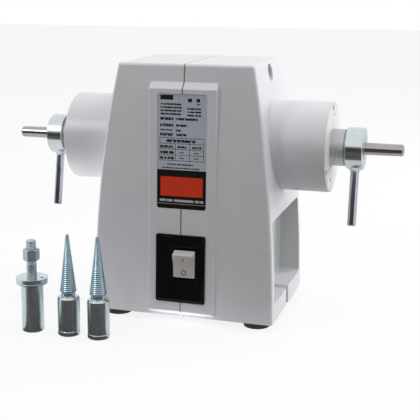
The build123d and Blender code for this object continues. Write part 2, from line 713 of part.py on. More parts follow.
# Clamp bolt and nut across the seam
with BuildPart() as clamp_bolt:
    with BuildSketch(across(BOLT_SEAT)):
        with Locations(TOP_BOLT):
            Circle(BOLT_HEAD_DIAMETER / 2)
    extrude(amount=BOLT_HEAD_HEIGHT)
    with BuildSketch(across(BOLT_SEAT)):
        with Locations(TOP_BOLT):
            Circle(BOLT_DIAMETER / 2)
    extrude(amount=-2 * BOLT_SEAT - NUT_HEIGHT)
    with BuildSketch(across(BOLT_SEAT + BOLT_HEAD_HEIGHT)):
        with Locations(TOP_BOLT):
            RegularPolygon(BOLT_SOCKET / 2, 6, major_radius=False)
    extrude(amount=-BOLT_HEAD_HEIGHT / 2, mode=Mode.SUBTRACT)
finish(clamp_bolt, "clamp_bolt")

with BuildPart() as clamp_nut:
    with BuildSketch(across(-BOLT_SEAT)):
        with Locations(TOP_BOLT):
            RegularPolygon(NUT_ACROSS_FLATS / 2, 6, major_radius=False)
            Circle(BOLT_DIAMETER / 2, mode=Mode.SUBTRACT)
    extrude(amount=-NUT_HEIGHT)
finish(clamp_nut, "clamp_nut")

# Feet and base plate
foot_grid = [(x * FOOT_SPREAD_X / 2, y * FOOT_SPREAD_Y / 2) for x in (-1, 1) for y in (-1, 1)]
head_floor = BODY_BOTTOM - FOOT_SCREW_GRIP
with BuildPart() as rubber_feet:
    for place in foot_grid:
        with BuildSketch(level(0)):
            with Locations(place):
                Circle((FOOT_DIAMETER - FOOT_TAPER) / 2)
        with BuildSketch(level(FOOT_HEIGHT)):
            with Locations(place):
                Circle(FOOT_DIAMETER / 2)
        loft()
    with BuildSketch(level(0)):
        with Locations(*foot_grid):
            Circle(FOOT_SCREW_THREAD / 2)
    extrude(amount=FOOT_HEIGHT, mode=Mode.SUBTRACT)
    with BuildSketch(level(0)):
        with Locations(*foot_grid):
            Circle(FOOT_SCREW_HEAD / 2)
    extrude(amount=head_floor, mode=Mode.SUBTRACT)
finish(rubber_feet, "rubber_feet")

with BuildPart() as foot_screws:
    with BuildSketch(level(head_floor - FOOT_SCREW_HEAD_HEIGHT)):
        with Locations(*foot_grid):
            Circle(FOOT_SCREW_HEAD / 2)
    extrude(amount=FOOT_SCREW_HEAD_HEIGHT)
    with BuildSketch(level(head_floor)):
        with Locations(*foot_grid):
            Circle(FOOT_SCREW_THREAD / 2)
    extrude(amount=FOOT_SCREW_GRIP + FOOT_SCREW_ENGAGE)
finish(foot_screws, "foot_screws")

post_grid = [(x * POST_X, y * POST_Y) for x in (-1, 1) for y in (-1, 1)]
with BuildPart() as base_plate:
    with BuildSketch(level(PLATE_FLOOR)):
        Rectangle(2 * (LOWER_WALL - BASE_PLATE_GAP), BASE_DEPTH - 2 * (WALL + BASE_PLATE_GAP))
        with Locations(*post_grid):
            Circle(BASE_SCREW_THREAD / 2, mode=Mode.SUBTRACT)
    extrude(amount=BASE_PLATE_THICKNESS)
finish(base_plate, "base_plate")

with BuildPart() as base_screws:
    with BuildSketch(level(PLATE_FLOOR - BASE_SCREW_HEAD_HEIGHT)):
        with Locations(*post_grid):
            Circle(BASE_SCREW_HEAD / 2)
    extrude(amount=BASE_SCREW_HEAD_HEIGHT)
    with BuildSketch(level(PLATE_FLOOR)):
        with Locations(*post_grid):
            Circle(BASE_SCREW_THREAD / 2)
    extrude(amount=BASE_PLATE_THICKNESS + BASE_SCREW_ENGAGE)
finish(base_screws, "base_screws")

# Rating plate and switch on the leaning panel
with BuildPart() as rating_plate:
    with BuildSketch(panel_plane.offset(-LABEL_RECESS)):
        with Locations((0, LABEL_RISE + LABEL_HEIGHT / 2)):
            RectangleRounded(LABEL_WIDTH, LABEL_HEIGHT, LABEL_CORNER)
    extrude(amount=LABEL_THICKNESS)
finish(rating_plate, "rating_plate")

plate_front = PLATE_THICKNESS - PLATE_RECESS
with BuildPart() as switch_plate:
    with BuildSketch(panel_plane.offset(-PLATE_RECESS)):
        with Locations((0, PLATE_RISE + PLATE_HEIGHT / 2)):
            RectangleRounded(PLATE_WIDTH, PLATE_HEIGHT, PLATE_CORNER)
    extrude(amount=PLATE_THICKNESS)
    chamfer(switch_plate.faces().sort_by(Axis(panel_plane.origin, panel_plane.z_dir))[-1].edges(), PLATE_CHAMFER)
    with BuildSketch(panel_plane.offset(-PLATE_RECESS)):
        with Locations((SWITCH_OFFSET, SWITCH_RISE)):
            Rectangle(SWITCH_WIDTH + 2 * FIT, SWITCH_HEIGHT + 2 * FIT)
    extrude(amount=PLATE_THICKNESS, mode=Mode.SUBTRACT)
finish(switch_plate, "switch_plate")

switch_front = plate_front + BEZEL_THICKNESS
well_height = ROCKER_SKIRT_LENGTH + 2 * ROCKER_SKIRT
rocker_pivot = panel_plane.from_local_coords((SWITCH_OFFSET, SWITCH_RISE, switch_front - ROCKER_PIVOT_DEPTH))
rocker_lean = PANEL_LEAN - math.radians(ROCKER_TILT)
rocker_plane = Plane(rocker_pivot, x_dir=(0, -math.cos(rocker_lean), math.sin(rocker_lean)), z_dir=(-1, 0, 0))
pin_reach = ROCKER_WIDTH / 2 + ROCKER_SIDE_PLAY + ROCKER_PIN_REACH
with BuildPart() as switch_body:
    with BuildSketch(panel_plane.offset(plate_front)):
        with Locations((SWITCH_OFFSET, SWITCH_RISE)):
            Rectangle(SWITCH_WIDTH + 2 * BEZEL_LIP, SWITCH_HEIGHT + 2 * BEZEL_LIP)
    extrude(amount=BEZEL_THICKNESS)
    chamfer(
        switch_body.faces().sort_by(Axis(panel_plane.origin, panel_plane.z_dir))[-1].edges(), BEZEL_THICKNESS / 2
    )
    with BuildSketch(panel_plane.offset(plate_front)):
        with Locations((SWITCH_OFFSET, SWITCH_RISE)):
            Rectangle(SWITCH_WIDTH, SWITCH_HEIGHT)
    extrude(amount=-SWITCH_DEPTH)
    with BuildSketch(panel_plane.offset(switch_front)):
        with Locations((SWITCH_OFFSET, SWITCH_RISE)):
            Rectangle(ROCKER_WIDTH + 2 * ROCKER_SIDE_PLAY, well_height)
    extrude(amount=-ROCKER_WELL, mode=Mode.SUBTRACT)
    with BuildSketch(rocker_plane):
        Circle(ROCKER_PIN / 2 + FIT)
    extrude(amount=pin_reach + FIT, both=True, mode=Mode.SUBTRACT)
finish(switch_body, "switch_body")

with BuildPart() as switch_terminals:
    with BuildSketch(panel_plane.offset(plate_front - SWITCH_DEPTH)):
        with Locations((SWITCH_OFFSET, SWITCH_RISE)):
            with GridLocations(TERMINAL_PITCH, TERMINAL_PITCH, 2, 2):
                Rectangle(TERMINAL_WIDTH, TERMINAL_THICKNESS)
    extrude(amount=-TERMINAL_LENGTH)
finish(switch_terminals, "switch_terminals")

with BuildPart() as switch_rocker:
    with BuildSketch(rocker_plane):
        with BuildLine():
            Polyline(
                (-ROCKER_SKIRT, -ROCKER_SKIRT_LENGTH / 2),
                (ROCKER_RISE, -ROCKER_LENGTH / 2),
                (ROCKER_RISE - ROCKER_HOLLOW, 0),
                (ROCKER_RISE, ROCKER_LENGTH / 2),
                (-ROCKER_SKIRT, ROCKER_SKIRT_LENGTH / 2),
                close=True,
            )
        make_face()
    extrude(amount=ROCKER_WIDTH / 2, both=True)
    with BuildSketch(rocker_plane):
        Circle(ROCKER_PIN / 2)
    extrude(amount=pin_reach, both=True)
finish(switch_rocker, "switch_rocker")

# Power inlet low on the back
with BuildPart() as power_inlet:
    with BuildSketch(back_plane):
        Rectangle(INLET_WIDTH, INLET_HEIGHT)
    extrude(amount=-INLET_FLANGE)
    with BuildSketch(back_plane):
        Rectangle(INLET_BODY_WIDTH, INLET_BODY_HEIGHT)
    extrude(amount=-INLET_BODY_DEPTH)
    with BuildSketch(back_plane):
        Rectangle(INLET_WELL_WIDTH, INLET_WELL_HEIGHT)
    extrude(amount=-INLET_WELL_DEPTH, mode=Mode.SUBTRACT)
    with Locations(back_plane):
        with GridLocations(INLET_SCREW_PITCH, 0, 2, 1):
            CounterSinkHole(INLET_SCREW_THREAD / 2 + FIT, INLET_SCREW_HEAD / 2 + FIT, depth=INLET_FLANGE)
finish(power_inlet, "power_inlet")

with BuildPart() as inlet_pins:
    with BuildSketch(back_plane.offset(-INLET_WELL_DEPTH)):
        with Locations((-PIN_PITCH, -PIN_RAISE / 2), (PIN_PITCH, -PIN_RAISE / 2), (0, PIN_RAISE / 2)):
            Rectangle(PIN_THICKNESS, PIN_WIDTH)
    extrude(amount=PIN_LENGTH)
finish(inlet_pins, "inlet_pins")

with BuildPart() as inlet_screws:
    with Locations(back_plane):
        with GridLocations(INLET_SCREW_PITCH, 0, 2, 1):
            inlet_cone = (INLET_SCREW_HEAD - INLET_SCREW_THREAD) / 2
            Cone(
                INLET_SCREW_THREAD / 2, INLET_SCREW_HEAD / 2, inlet_cone,
                align=(Align.CENTER, Align.CENTER, Align.MAX),
            )
            Cylinder(
                INLET_SCREW_THREAD / 2, INLET_FLANGE + INLET_SCREW_LENGTH,
                align=(Align.CENTER, Align.CENTER, Align.MAX),
            )
finish(inlet_screws, "inlet_screws")

# Capacitor, clip and terminal block on the base plate
capacitor_height = PLATE_TOP + CLIP_BAND + CAPACITOR_DIAMETER / 2
with BuildPart() as run_capacitor:
    with BuildSketch(across(-CAPACITOR_LENGTH / 2)):
        with Locations((0, capacitor_height)):
            Circle(CAPACITOR_DIAMETER / 2)
    extrude(amount=CAPACITOR_LENGTH)
    fillet(run_capacitor.edges().filter_by(GeomType.CIRCLE), CAPACITOR_ROUND)
finish(run_capacitor, "run_capacitor")

with BuildPart() as capacitor_clip:
    with BuildSketch(across(-CLIP_WIDTH / 2)):
        with Locations((0, capacitor_height)):
            Circle(CAPACITOR_DIAMETER / 2 + CLIP_BAND)
        with Locations((0, PLATE_TOP)):
            Rectangle(CAPACITOR_DIAMETER + 2 * CLIP_FOOT, CLIP_BAND, align=(Align.CENTER, Align.MIN))
        with Locations((0, capacitor_height)):
            Circle(CAPACITOR_DIAMETER / 2, mode=Mode.SUBTRACT)
    extrude(amount=CLIP_WIDTH)
finish(capacitor_clip, "capacitor_clip")

with BuildPart() as terminal_block:
    with BuildSketch(level(PLATE_TOP)):
        with Locations((TERMINAL_BLOCK_X, TERMINAL_BLOCK_Y)):
            Rectangle(TERMINAL_BLOCK_DEPTH, TERMINAL_BLOCK_LENGTH)
    extrude(amount=TERMINAL_BLOCK_HEIGHT)
    with BuildSketch(level(PLATE_TOP + TERMINAL_BLOCK_HEIGHT)):
        with Locations((TERMINAL_BLOCK_X, TERMINAL_BLOCK_Y)):
            with GridLocations(
                TERMINAL_BLOCK_DEPTH / 2, TERMINAL_BLOCK_LENGTH / TERMINAL_BLOCK_POLES, 2, TERMINAL_BLOCK_POLES
            ):
                Circle(TERMINAL_BLOCK_HOLE / 2)
    extrude(amount=-TERMINAL_BLOCK_HEIGHT / 2, mode=Mode.SUBTRACT)
finish(terminal_block, "terminal_block")


def standing(x, outline):
    """Turn an outline of (radius, height) points round an upright axis in the loose spindle row."""
    with BuildSketch(Plane((x, SET_Y, 0), x_dir=(1, 0, 0), z_dir=(0, -1, 0))) as half:
        with BuildLine():
            Polyline(*outline, close=True)
        make_face()
    revolve(half.sketch, axis=Axis((x, SET_Y, 0), (0, 0, 1)))


# Loose spindles; each has a socket that pushes on to the tapered shaft end
TAPER_LENGTH = SPINDLE_TIP - TIP_CHAMFER - TAPER_START
SOCKET_TOP = TAPER_ROOT / 2 - (TAPER_ROOT - TAPER_TIP) / 2 * SOCKET_DEPTH / TAPER_LENGTH
socket = [(0, SOCKET_DEPTH), (SOCKET_TOP + SOCKET_PLAY, SOCKET_DEPTH), (TAPER_ROOT / 2 + SOCKET_PLAY, 0)]
body_radius = SET_BODY_DIAMETER / 2
body_foot = [(body_radius - SET_BODY_CHAMFER, 0), (body_radius, SET_BODY_CHAMFER)]
screws = {"left_taper_spindle": (TAPER_A_X, SCREW_A_ROOT), "right_taper_spindle": (TAPER_B_X, SCREW_B_ROOT)}
for name, (place_x, root) in screws.items():
    with BuildPart() as taper_spindle:
        standing(place_x, socket + body_foot + [
            (body_radius, TAPER_BODY_HEIGHT - SET_BODY_CHAMFER),
            (body_radius - SET_BODY_CHAMFER, TAPER_BODY_HEIGHT),
            (root / 2 - TAPER_UNDERCUT, TAPER_BODY_HEIGHT + TAPER_UNDERCUT),
            (root / 2 - TAPER_UNDERCUT, TAPER_BODY_HEIGHT + TAPER_SHOULDER - TAPER_UNDERCUT),
            (root / 2, TAPER_BODY_HEIGHT + TAPER_SHOULDER),
            (SCREW_TIP_DIAMETER / 2, SCREW_TIP_HEIGHT),
            (0, SCREW_TIP_HEIGHT),
        ])
    finish(taper_spindle, name)

washer_floor = ARBOR_BODY_HEIGHT + ARBOR_FLANGE + ARBOR_WASHER_PLAY
with BuildPart() as wheel_arbor:
    standing(ARBOR_X, socket + body_foot + [
        (body_radius, ARBOR_BODY_HEIGHT),
        (ARBOR_FLANGE_DIAMETER / 2, ARBOR_BODY_HEIGHT),
        (ARBOR_FLANGE_DIAMETER / 2, ARBOR_BODY_HEIGHT + ARBOR_FLANGE),
        (STUD_DIAMETER / 2, ARBOR_BODY_HEIGHT + ARBOR_FLANGE),
        (STUD_DIAMETER / 2, STUD_TOP - SET_BODY_CHAMFER),
        (STUD_DIAMETER / 2 - SET_BODY_CHAMFER, STUD_TOP),
        (0, STUD_TOP),
    ])
finish(wheel_arbor, "wheel_arbor")

with BuildPart() as arbor_washer:
    standing(ARBOR_X, [
        (STUD_DIAMETER / 2 + STUD_PLAY, washer_floor),
        (ARBOR_FLANGE_DIAMETER / 2, washer_floor),
        (ARBOR_FLANGE_DIAMETER / 2, washer_floor + ARBOR_WASHER),
        (STUD_DIAMETER / 2 + STUD_PLAY, washer_floor + ARBOR_WASHER),
    ])
    with Locations((ARBOR_X + WASHER_HOLE_RADIUS, SET_Y, washer_floor + ARBOR_WASHER)):
        Hole(WASHER_HOLE / 2)
finish(arbor_washer, "arbor_washer")

with BuildPart() as arbor_nut:
    with BuildSketch(Plane((ARBOR_X, SET_Y, ARBOR_NUT_RISE))):
        RegularPolygon(ARBOR_NUT_FLATS / 2, 6, major_radius=False)
        Circle(STUD_DIAMETER / 2 + STUD_PLAY, mode=Mode.SUBTRACT)
    extrude(amount=ARBOR_NUT_HEIGHT)
finish(arbor_nut, "arbor_nut")
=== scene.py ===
# %% [markdown]
# # A two-ended bench polishing motor, dressed for the camera
# The construction model arrives as a fixed frame: every rigid piece is already in its place, in metres.
# This lesson keeps the pieces whose shape is right, gives them real finishes, and makes new surfaces where
# the real thing has turned threads, soft casting edges or moulded plastic that a construction model leaves
# plain.

# %% Load the frame
import json
import math

import bpy
import numpy as np
from mathutils import Matrix, Vector


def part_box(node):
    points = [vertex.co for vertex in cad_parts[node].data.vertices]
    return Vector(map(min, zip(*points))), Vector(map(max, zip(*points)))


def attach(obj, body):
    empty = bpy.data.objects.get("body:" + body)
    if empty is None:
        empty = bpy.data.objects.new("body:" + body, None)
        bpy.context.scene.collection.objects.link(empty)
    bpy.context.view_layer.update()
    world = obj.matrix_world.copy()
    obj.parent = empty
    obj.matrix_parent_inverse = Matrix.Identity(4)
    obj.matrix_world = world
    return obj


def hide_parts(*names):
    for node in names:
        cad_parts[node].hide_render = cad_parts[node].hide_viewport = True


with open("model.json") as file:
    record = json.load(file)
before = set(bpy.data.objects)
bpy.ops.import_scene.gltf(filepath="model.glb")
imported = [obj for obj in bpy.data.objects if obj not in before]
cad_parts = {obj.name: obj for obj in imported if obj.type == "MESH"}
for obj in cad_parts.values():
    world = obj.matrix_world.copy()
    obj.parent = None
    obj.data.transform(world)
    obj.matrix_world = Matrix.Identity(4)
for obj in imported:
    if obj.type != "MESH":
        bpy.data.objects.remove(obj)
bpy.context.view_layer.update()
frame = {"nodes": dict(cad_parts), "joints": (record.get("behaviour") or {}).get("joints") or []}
nodes = frame["nodes"]

# %% [markdown]
# ## Camera
# The photograph was taken from the right front, a little above the spindle, with a long lens. A camera can
# be aimed by eye or solved from known points. Solving is steadier: the place, the aim and the focal length
# below put the casting's corners on the same spots of a square picture.

# %% Camera at the photograph's angle
CAMERA_PLACE = Vector((0.2814, -0.9033, 0.3285))
CAMERA_FORWARD = Vector((-0.30206, 0.93240, -0.19852)).normalized()
CAMERA_LENS = 84.36
SENSOR = 36.0
FRAME_SHIFT = 0.0714

camera_data = bpy.data.cameras.new("photo_camera")
camera_data.sensor_width = SENSOR
camera_data.lens = CAMERA_LENS
camera_data.shift_x = FRAME_SHIFT
camera_data.shift_y = -FRAME_SHIFT
camera_data.clip_start = 0.01
camera = bpy.data.objects.new("photo_camera", camera_data)
bpy.context.scene.collection.objects.link(camera)
camera_right = CAMERA_FORWARD.cross(Vector((0, 0, 1))).normalized()
camera_up = camera_right.cross(CAMERA_FORWARD)
camera.matrix_world = Matrix((
    (camera_right.x, camera_up.x, -CAMERA_FORWARD.x, CAMERA_PLACE.x),
    (camera_right.y, camera_up.y, -CAMERA_FORWARD.y, CAMERA_PLACE.y),
    (camera_right.z, camera_up.z, -CAMERA_FORWARD.z, CAMERA_PLACE.z),
    (0, 0, 0, 1),
))
bpy.context.scene.camera = camera
bpy.context.scene.view_settings.view_transform = "Standard"
print("camera stands", round(CAMERA_PLACE.length, 3), "m from the middle of the floor")

# %% [markdown]
# ## Surfaces from rings
# Most pieces of this machine are turned, so one helper serves them all: it takes a stack of closed rings of
# points and joins neighbours with four-sided faces. The ends are closed with a fan to a middle point, or
# the last ring is joined to the first, so that no surface is left open. A signed volume tells whether the
# faces look outwards.

# %% Rings to a closed mesh
MM = 0.001
SHARP_ANGLE = math.radians(33)


def outward(points, faces):
    """Faces, turned round where the volume, a sum of (a . b x c) over fan triangles, is negative."""
    a = points[faces[:, 0]]
    b = points[faces[:, 1]]
    c = points[faces[:, 2]]
    d = points[faces[:, -1]]
    volume = np.einsum("ij,ij->i", a, np.cross(b, c)).sum() + np.einsum("ij,ij->i", a, np.cross(c, d)).sum()
    return faces[:, ::-1] if volume < 0 else faces


def ring_faces(rows, columns, loop):
    """Four-sided faces between neighbouring rings; with loop the last ring also meets the first."""
    steps = rows if loop else rows - 1
    low = np.arange(steps)[:, None] * columns
    high = (np.arange(steps)[:, None] + 1) % rows * columns
    here = np.arange(columns)[None, :]
    there = (here + 1) % columns
    return np.stack([low + here, low + there, high + there, high + here], axis=-1).reshape(-1, 4)


def closed_rings(rings, loop=False):
    """Points and faces of a stack of rings, closed by end fans or by joining last to first."""
    rows, columns, _ = rings.shape
    points = rings.reshape(-1, 3)
    faces = ring_faces(rows, columns, loop)
    if not loop:
        middles = np.stack([rings[0].mean(axis=0), rings[-1].mean(axis=0)])
        points = np.concatenate([points, middles])
        here = np.arange(columns)
        there = (here + 1) % columns
        first = np.full(columns, rows * columns)
        last = first + 1
        top = (rows - 1) * columns
        start = np.stack([there, here, first, first], axis=-1)
        end = np.stack([top + here, top + there, last, last], axis=-1)
        faces = np.concatenate([faces, start, end])
    return points, outward(points, faces)


def make_piece(name, parts, finish, body, replaced=(), sharp=SHARP_ANGLE):
    """One object from several (points, faces) sets, smooth apart from edges past the sharp angle."""
    counts = np.cumsum([0] + [len(points) for points, faces in parts])
    points = np.concatenate([points for points, faces in parts])
    faces = [face + count for (_, face), count in zip(parts, counts)]
    polygons = [row for face in faces for row in face.tolist()]
    polygons = [row[:-1] if row[-1] == row[-2] else row for row in polygons]
    polygons = [row[1:] if row[0] == row[1] else row for row in polygons]
    mesh = bpy.data.meshes.new(name)
    mesh.from_pydata(points.tolist(), [], polygons)
    mesh.validate()
    mesh.shade_smooth()
    mesh.set_sharp_from_angle(angle=sharp)
    piece = bpy.data.objects.new(name, mesh)
    bpy.context.scene.collection.objects.link(piece)
    weighted = piece.modifiers.new("even_normals", "WEIGHTED_NORMAL")
    weighted.keep_sharp = True
    mesh.materials.append(finish)
    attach(piece, body)
    if replaced:
        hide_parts(*replaced)
    print("made", name, "with", len(polygons), "faces on", body)
    return piece


print("ring helper ready")

# %% [markdown]
# ## Turned profiles
# A lathe piece is a profile of (along, radius) pairs carried round an axis. Real turned corners are never
# knife sharp, so a softening step swaps each corner for a short curve before the profile is turned.

# %% Profiles and turning
CORNER_STEPS = 5
TURN = 96


def softened(profile, radius):
    """Profile whose inner corners are quadratic curves: (1-t)^2 before + 2t(1-t) corner + t^2 after."""
    profile = np.asarray(profile, float)
    corner = profile[1:-1]
    back = profile[:-2] - corner
    ahead = profile[2:] - corner
    back_run = np.linalg.norm(back, axis=1, keepdims=True)
    ahead_run = np.linalg.norm(ahead, axis=1, keepdims=True)
    cut = np.minimum(radius, 0.45 * np.minimum(back_run, ahead_run))
    before = (corner + back / back_run * cut)[:, None, :]
    after = (corner + ahead / ahead_run * cut)[:, None, :]
    t = np.linspace(0, 1, CORNER_STEPS)[None, :, None]
    curve = (1 - t) ** 2 * before + 2 * t * (1 - t) * corner[:, None, :] + t ** 2 * after
    return np.concatenate([profile[:1], curve.reshape(-1, 2), profile[-1:]])


def turned(profile, place, axis, ridges=0.0, count=TURN):
    """Rings round an axis: place + along * axis + (radius + ridges) * (cos, sin) across it."""
    axis = np.asarray(axis, float) / np.linalg.norm(axis)
    helper = np.array([0.0, 0.0, 1.0]) if abs(axis[2]) < 0.9 else np.array([1.0, 0.0, 0.0])
    side = np.cross(axis, helper)
    side /= np.linalg.norm(side)
    third = np.cross(axis, side)
    angle = np.linspace(0, 2 * np.pi, count, endpoint=False)
    profile = np.asarray(profile, float)
    radius = np.maximum(profile[:, 1:2] + ridges + np.zeros((1, count)), 0.0)
    spokes = np.cos(angle)[:, None] * side + np.sin(angle)[:, None] * third
    rings = np.asarray(place, float) + profile[:, 0][:, None, None] * axis + radius[:, :, None] * spokes[None]
    return rings * MM


def lathe(profile, place, axis, soft=0.4, loop=False, count=TURN):
    """Closed turned solid from a profile in millimetres; with loop the profile is a closed section."""
    profile = np.asarray(profile, float)
    if loop:
        wrapped = np.concatenate([profile[-1:], profile, profile[:1]])
        return closed_rings(turned(softened(wrapped, soft)[1:-1], place, axis, count=count), loop=True)
    return closed_rings(turned(softened(profile, soft), place, axis, count=count))


shaft_low, shaft_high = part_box("spindle_shaft")
AXIS_Y = (shaft_low.y + shaft_high.y) / 2 / MM
AXIS_Z = (shaft_low.z + shaft_high.z) / 2 / MM
print("spindle axis at y", round(AXIS_Y, 2), "z", round(AXIS_Z, 2), "mm")

# %% [markdown]
# ## Finishes
# Every finish is a small node tree on Object coordinates, so it stays on its piece when the piece moves.
# Values that are the same all over sit directly on the shader; only what varies over the surface gets
# nodes.

# %% Node helpers


class Finish:
    """A material with a Principled shader and short calls that add the nodes its finish needs."""

    def __init__(self, name, metallic=0.0, roughness=0.5, **sockets):
        self.material = bpy.data.materials.new(name)
        self.material.use_nodes = True
        self.tree = self.material.node_tree
        self.shader = self.tree.nodes["Principled BSDF"]
        self.shader.inputs["Metallic"].default_value = metallic
        self.shader.inputs["Roughness"].default_value = roughness
        for socket, value in sockets.items():
            self.shader.inputs[socket.replace("_", " ")].default_value = value
        self.place = self.node("ShaderNodeTexCoord").outputs["Object"]

    def node(self, kind, inputs=(), **settings):
        node = self.tree.nodes.new(kind)
        for key, value in settings.items():
            setattr(node, key, value)
        for key, value in dict(inputs).items():
            if isinstance(value, bpy.types.NodeSocket):
                self.tree.links.new(value, node.inputs[key])
            else:
                node.inputs[key].default_value = value
        return node

    def scaled(self, scale):
        """Object coordinates stretched by a different factor along each axis."""
        return self.node("ShaderNodeMapping", {"Vector": self.place, "Scale": scale}).outputs[0]

    def noise(self, scale, detail=2.0, vector=None):
        inputs = {"Vector": vector or self.place, "Scale": scale, "Detail": detail}
        return self.node("ShaderNodeTexNoise", inputs).outputs["Fac"]

    def ramp(self, factor, low, high, start=0.3, end=0.7):
        """Colour that runs from low to high as the factor goes from start to end."""
        node = self.node("ShaderNodeValToRGB", {"Fac": factor})
        node.color_ramp.elements[0].position = start
        node.color_ramp.elements[0].color = (*low, 1)
        node.color_ramp.elements[1].position = end
        node.color_ramp.elements[1].color = (*high, 1)
        return node.outputs["Color"]

    def spread(self, factor, low, high):
        """Number that runs from low to high as the factor goes over its usual middle stretch."""
        values = {"Value": factor, "From Min": 0.3, "From Max": 0.7, "To Min": low, "To Max": high}
        return self.node("ShaderNodeMapRange", values).outputs[0]

    def math(self, operation, a, b=0.0):
        return self.node("ShaderNodeMath", {0: a, 1: b}, operation=operation).outputs[0]

    def mixed(self, factor, a, b):
        """Colour a where the factor is 0 and colour b where it is 1."""
        node = self.node("ShaderNodeMix", data_type="RGBA")
        for socket, value in zip((node.inputs[0], node.inputs[6], node.inputs[7]), (factor, a, b)):
            if isinstance(value, bpy.types.NodeSocket):
                self.tree.links.new(value, socket)
            else:
                socket.default_value = (*value, 1)
        return node.outputs[2]

    def colour(self, socket):
        self.tree.links.new(socket, self.shader.inputs["Base Color"])

    def roughness(self, socket):
        self.tree.links.new(socket, self.shader.inputs["Roughness"])

    def bump(self, height, strength, distance, under=None):
        inputs = {"Height": height, "Strength": strength, "Distance": distance}
        if under:
            inputs["Normal"] = under
        normal = self.node("ShaderNodeBump", inputs).outputs["Normal"]
        self.tree.links.new(normal, self.shader.inputs["Normal"])
        return normal


print("finish helper ready")

# %% [markdown]
# ## Sprayed enamel
# The casting is sprayed with a semi-gloss off-white enamel. It could be one flat colour, but the photograph
# shows an orange-peel skin that breaks up the highlights and a slight mottle, so two sizes of noise make
# the bump. The side pockets get a greyer colour, which is painted shade, and the seam a dark line, which
# is part grime and part painted shade in the gap.

# %% Enamel, cover enamel and sheet


SEAM_HALF = 0.0004
SEAM_EDGE = 0.0007
POCKET_INNER = 0.0672
POCKET_HALF = 0.0602
POCKET_LOW = 0.0268
POCKET_HIGH = 0.1050


def enamel(name, low, high, roughness, peel, seam=False, **sockets):
    """Sprayed paint: faint mottle over orange peel; with seam, grime and painted shade at the seam, painted
    shade in pockets.
    """
    finish = Finish(name, roughness=roughness, **sockets)
    mottle = finish.noise(38.0, 3.0)
    colour = finish.ramp(mottle, low, high)
    if seam:
        x, y, z = finish.node("ShaderNodeSeparateXYZ", {0: finish.place}).outputs
        # Dark seam line: part grime, part painted shade standing in for the shadow in the gap between the
        # halves.
        off_middle = finish.math("ABSOLUTE", x)
        seam_shade_reach = {"Value": off_middle, "From Min": SEAM_HALF, "From Max": SEAM_EDGE,
                 "To Min": 0.9, "To Max": 0.0}
        colour = finish.mixed(finish.node("ShaderNodeMapRange", seam_shade_reach).outputs[0], colour, (0.10, 0.10, 0.10))
        # Greyer colour inside the side pockets: painted shade where the barrel and the pocket walls keep the
        # light out.
        off_axis = finish.math("ABSOLUTE", finish.math("SUBTRACT", y, AXIS_Y * MM))
        inside = finish.math("MULTIPLY", finish.math("GREATER_THAN", off_middle, POCKET_INNER),
                             finish.math("LESS_THAN", off_axis, POCKET_HALF))
        tall = finish.math("MULTIPLY", finish.math("GREATER_THAN", z, POCKET_LOW),
                           finish.math("LESS_THAN", z, POCKET_HIGH))
        colour = finish.mixed(finish.math("MULTIPLY", inside, tall), colour, (0.60, 0.62, 0.62))
    finish.colour(colour)
    finish.roughness(finish.spread(finish.noise(90.0, 2.0), roughness - 0.04, roughness + 0.05))
    coarse = finish.noise(330.0, 1.0)
    fine = finish.noise(900.0, 1.0)
    first = finish.bump(coarse, peel, 0.0004)
    finish.bump(fine, peel * 0.6, 0.00015, first)
    return finish.material


casting_enamel = enamel("casting_enamel", (0.755, 0.752, 0.790), (0.785, 0.782, 0.820), 0.34, 0.10, seam=True,
                        Specular_IOR_Level=0.65)
cover_enamel = enamel("cover_enamel", (0.80, 0.80, 0.80), (0.83, 0.83, 0.83), 0.42, 0.10)
sheet_enamel = enamel("sheet_enamel", (0.40, 0.41, 0.42), (0.46, 0.47, 0.48), 0.45, 0.10)
print("three enamels made")

# %% [markdown]
# ## Bare and plated metal
# Zinc plating is bright with a cool tint and smooth, so it has no bump and only a slow cloud in tint and
# gloss. Rougher metals keep the rings the tool left, as noise that is quick along the axis, slow around it.

# %% Turned metals
ALONG_X = (1.0, 0.02, 0.02)
ALONG_Z = (0.02, 0.02, 1.0)


def turned_metal(name, low, high, roughness, lines=0.0, ring_strength=0.0, along=ALONG_X):
    """Metal with a cloudy tint and slightly uneven polish, and tool rings where a strength is given."""
    finish = Finish(name, metallic=1.0, roughness=roughness)
    cloud = finish.noise(120.0, 3.0)
    finish.colour(finish.ramp(cloud, low, high))
    finish.roughness(finish.spread(cloud, roughness - 0.01, roughness + 0.015))
    if ring_strength:
        finish.bump(finish.noise(lines, 2.0, finish.scaled(along)), ring_strength, 0.0002)
    return finish.material


zinc_across = turned_metal("zinc_turned_x", (0.58, 0.645, 0.655), (0.66, 0.715, 0.725), 0.18)
zinc_upright = turned_metal("zinc_turned_z", (0.54, 0.62, 0.65), (0.62, 0.70, 0.73), 0.26)
lever_zinc = turned_metal("lever_zinc", (0.46, 0.50, 0.56), (0.54, 0.58, 0.64), 0.15)
blue_zinc = turned_metal("blue_zinc", (0.31, 0.44, 0.52), (0.39, 0.52, 0.60), 0.28)
stud_zinc = turned_metal("stud_zinc", (0.44, 0.53, 0.59), (0.52, 0.61, 0.67), 0.46)
ground_steel = turned_metal("ground_steel", (0.38, 0.355, 0.36), (0.45, 0.42, 0.425), 0.18)
neck_alloy = turned_metal("neck_alloy", (0.52, 0.53, 0.54), (0.58, 0.59, 0.60), 0.48, 500.0, 0.02)
dark_steel = turned_metal("blackened_steel", (0.035, 0.035, 0.038), (0.07, 0.07, 0.075), 0.38, 700.0, 0.10)
bright_steel = turned_metal("bright_steel", (0.58, 0.58, 0.58), (0.68, 0.68, 0.68), 0.22, 900.0, 0.08)
rotor_cast = turned_metal("rotor_cast", (0.56, 0.56, 0.57), (0.66, 0.66, 0.67), 0.40, 500.0, 0.15)
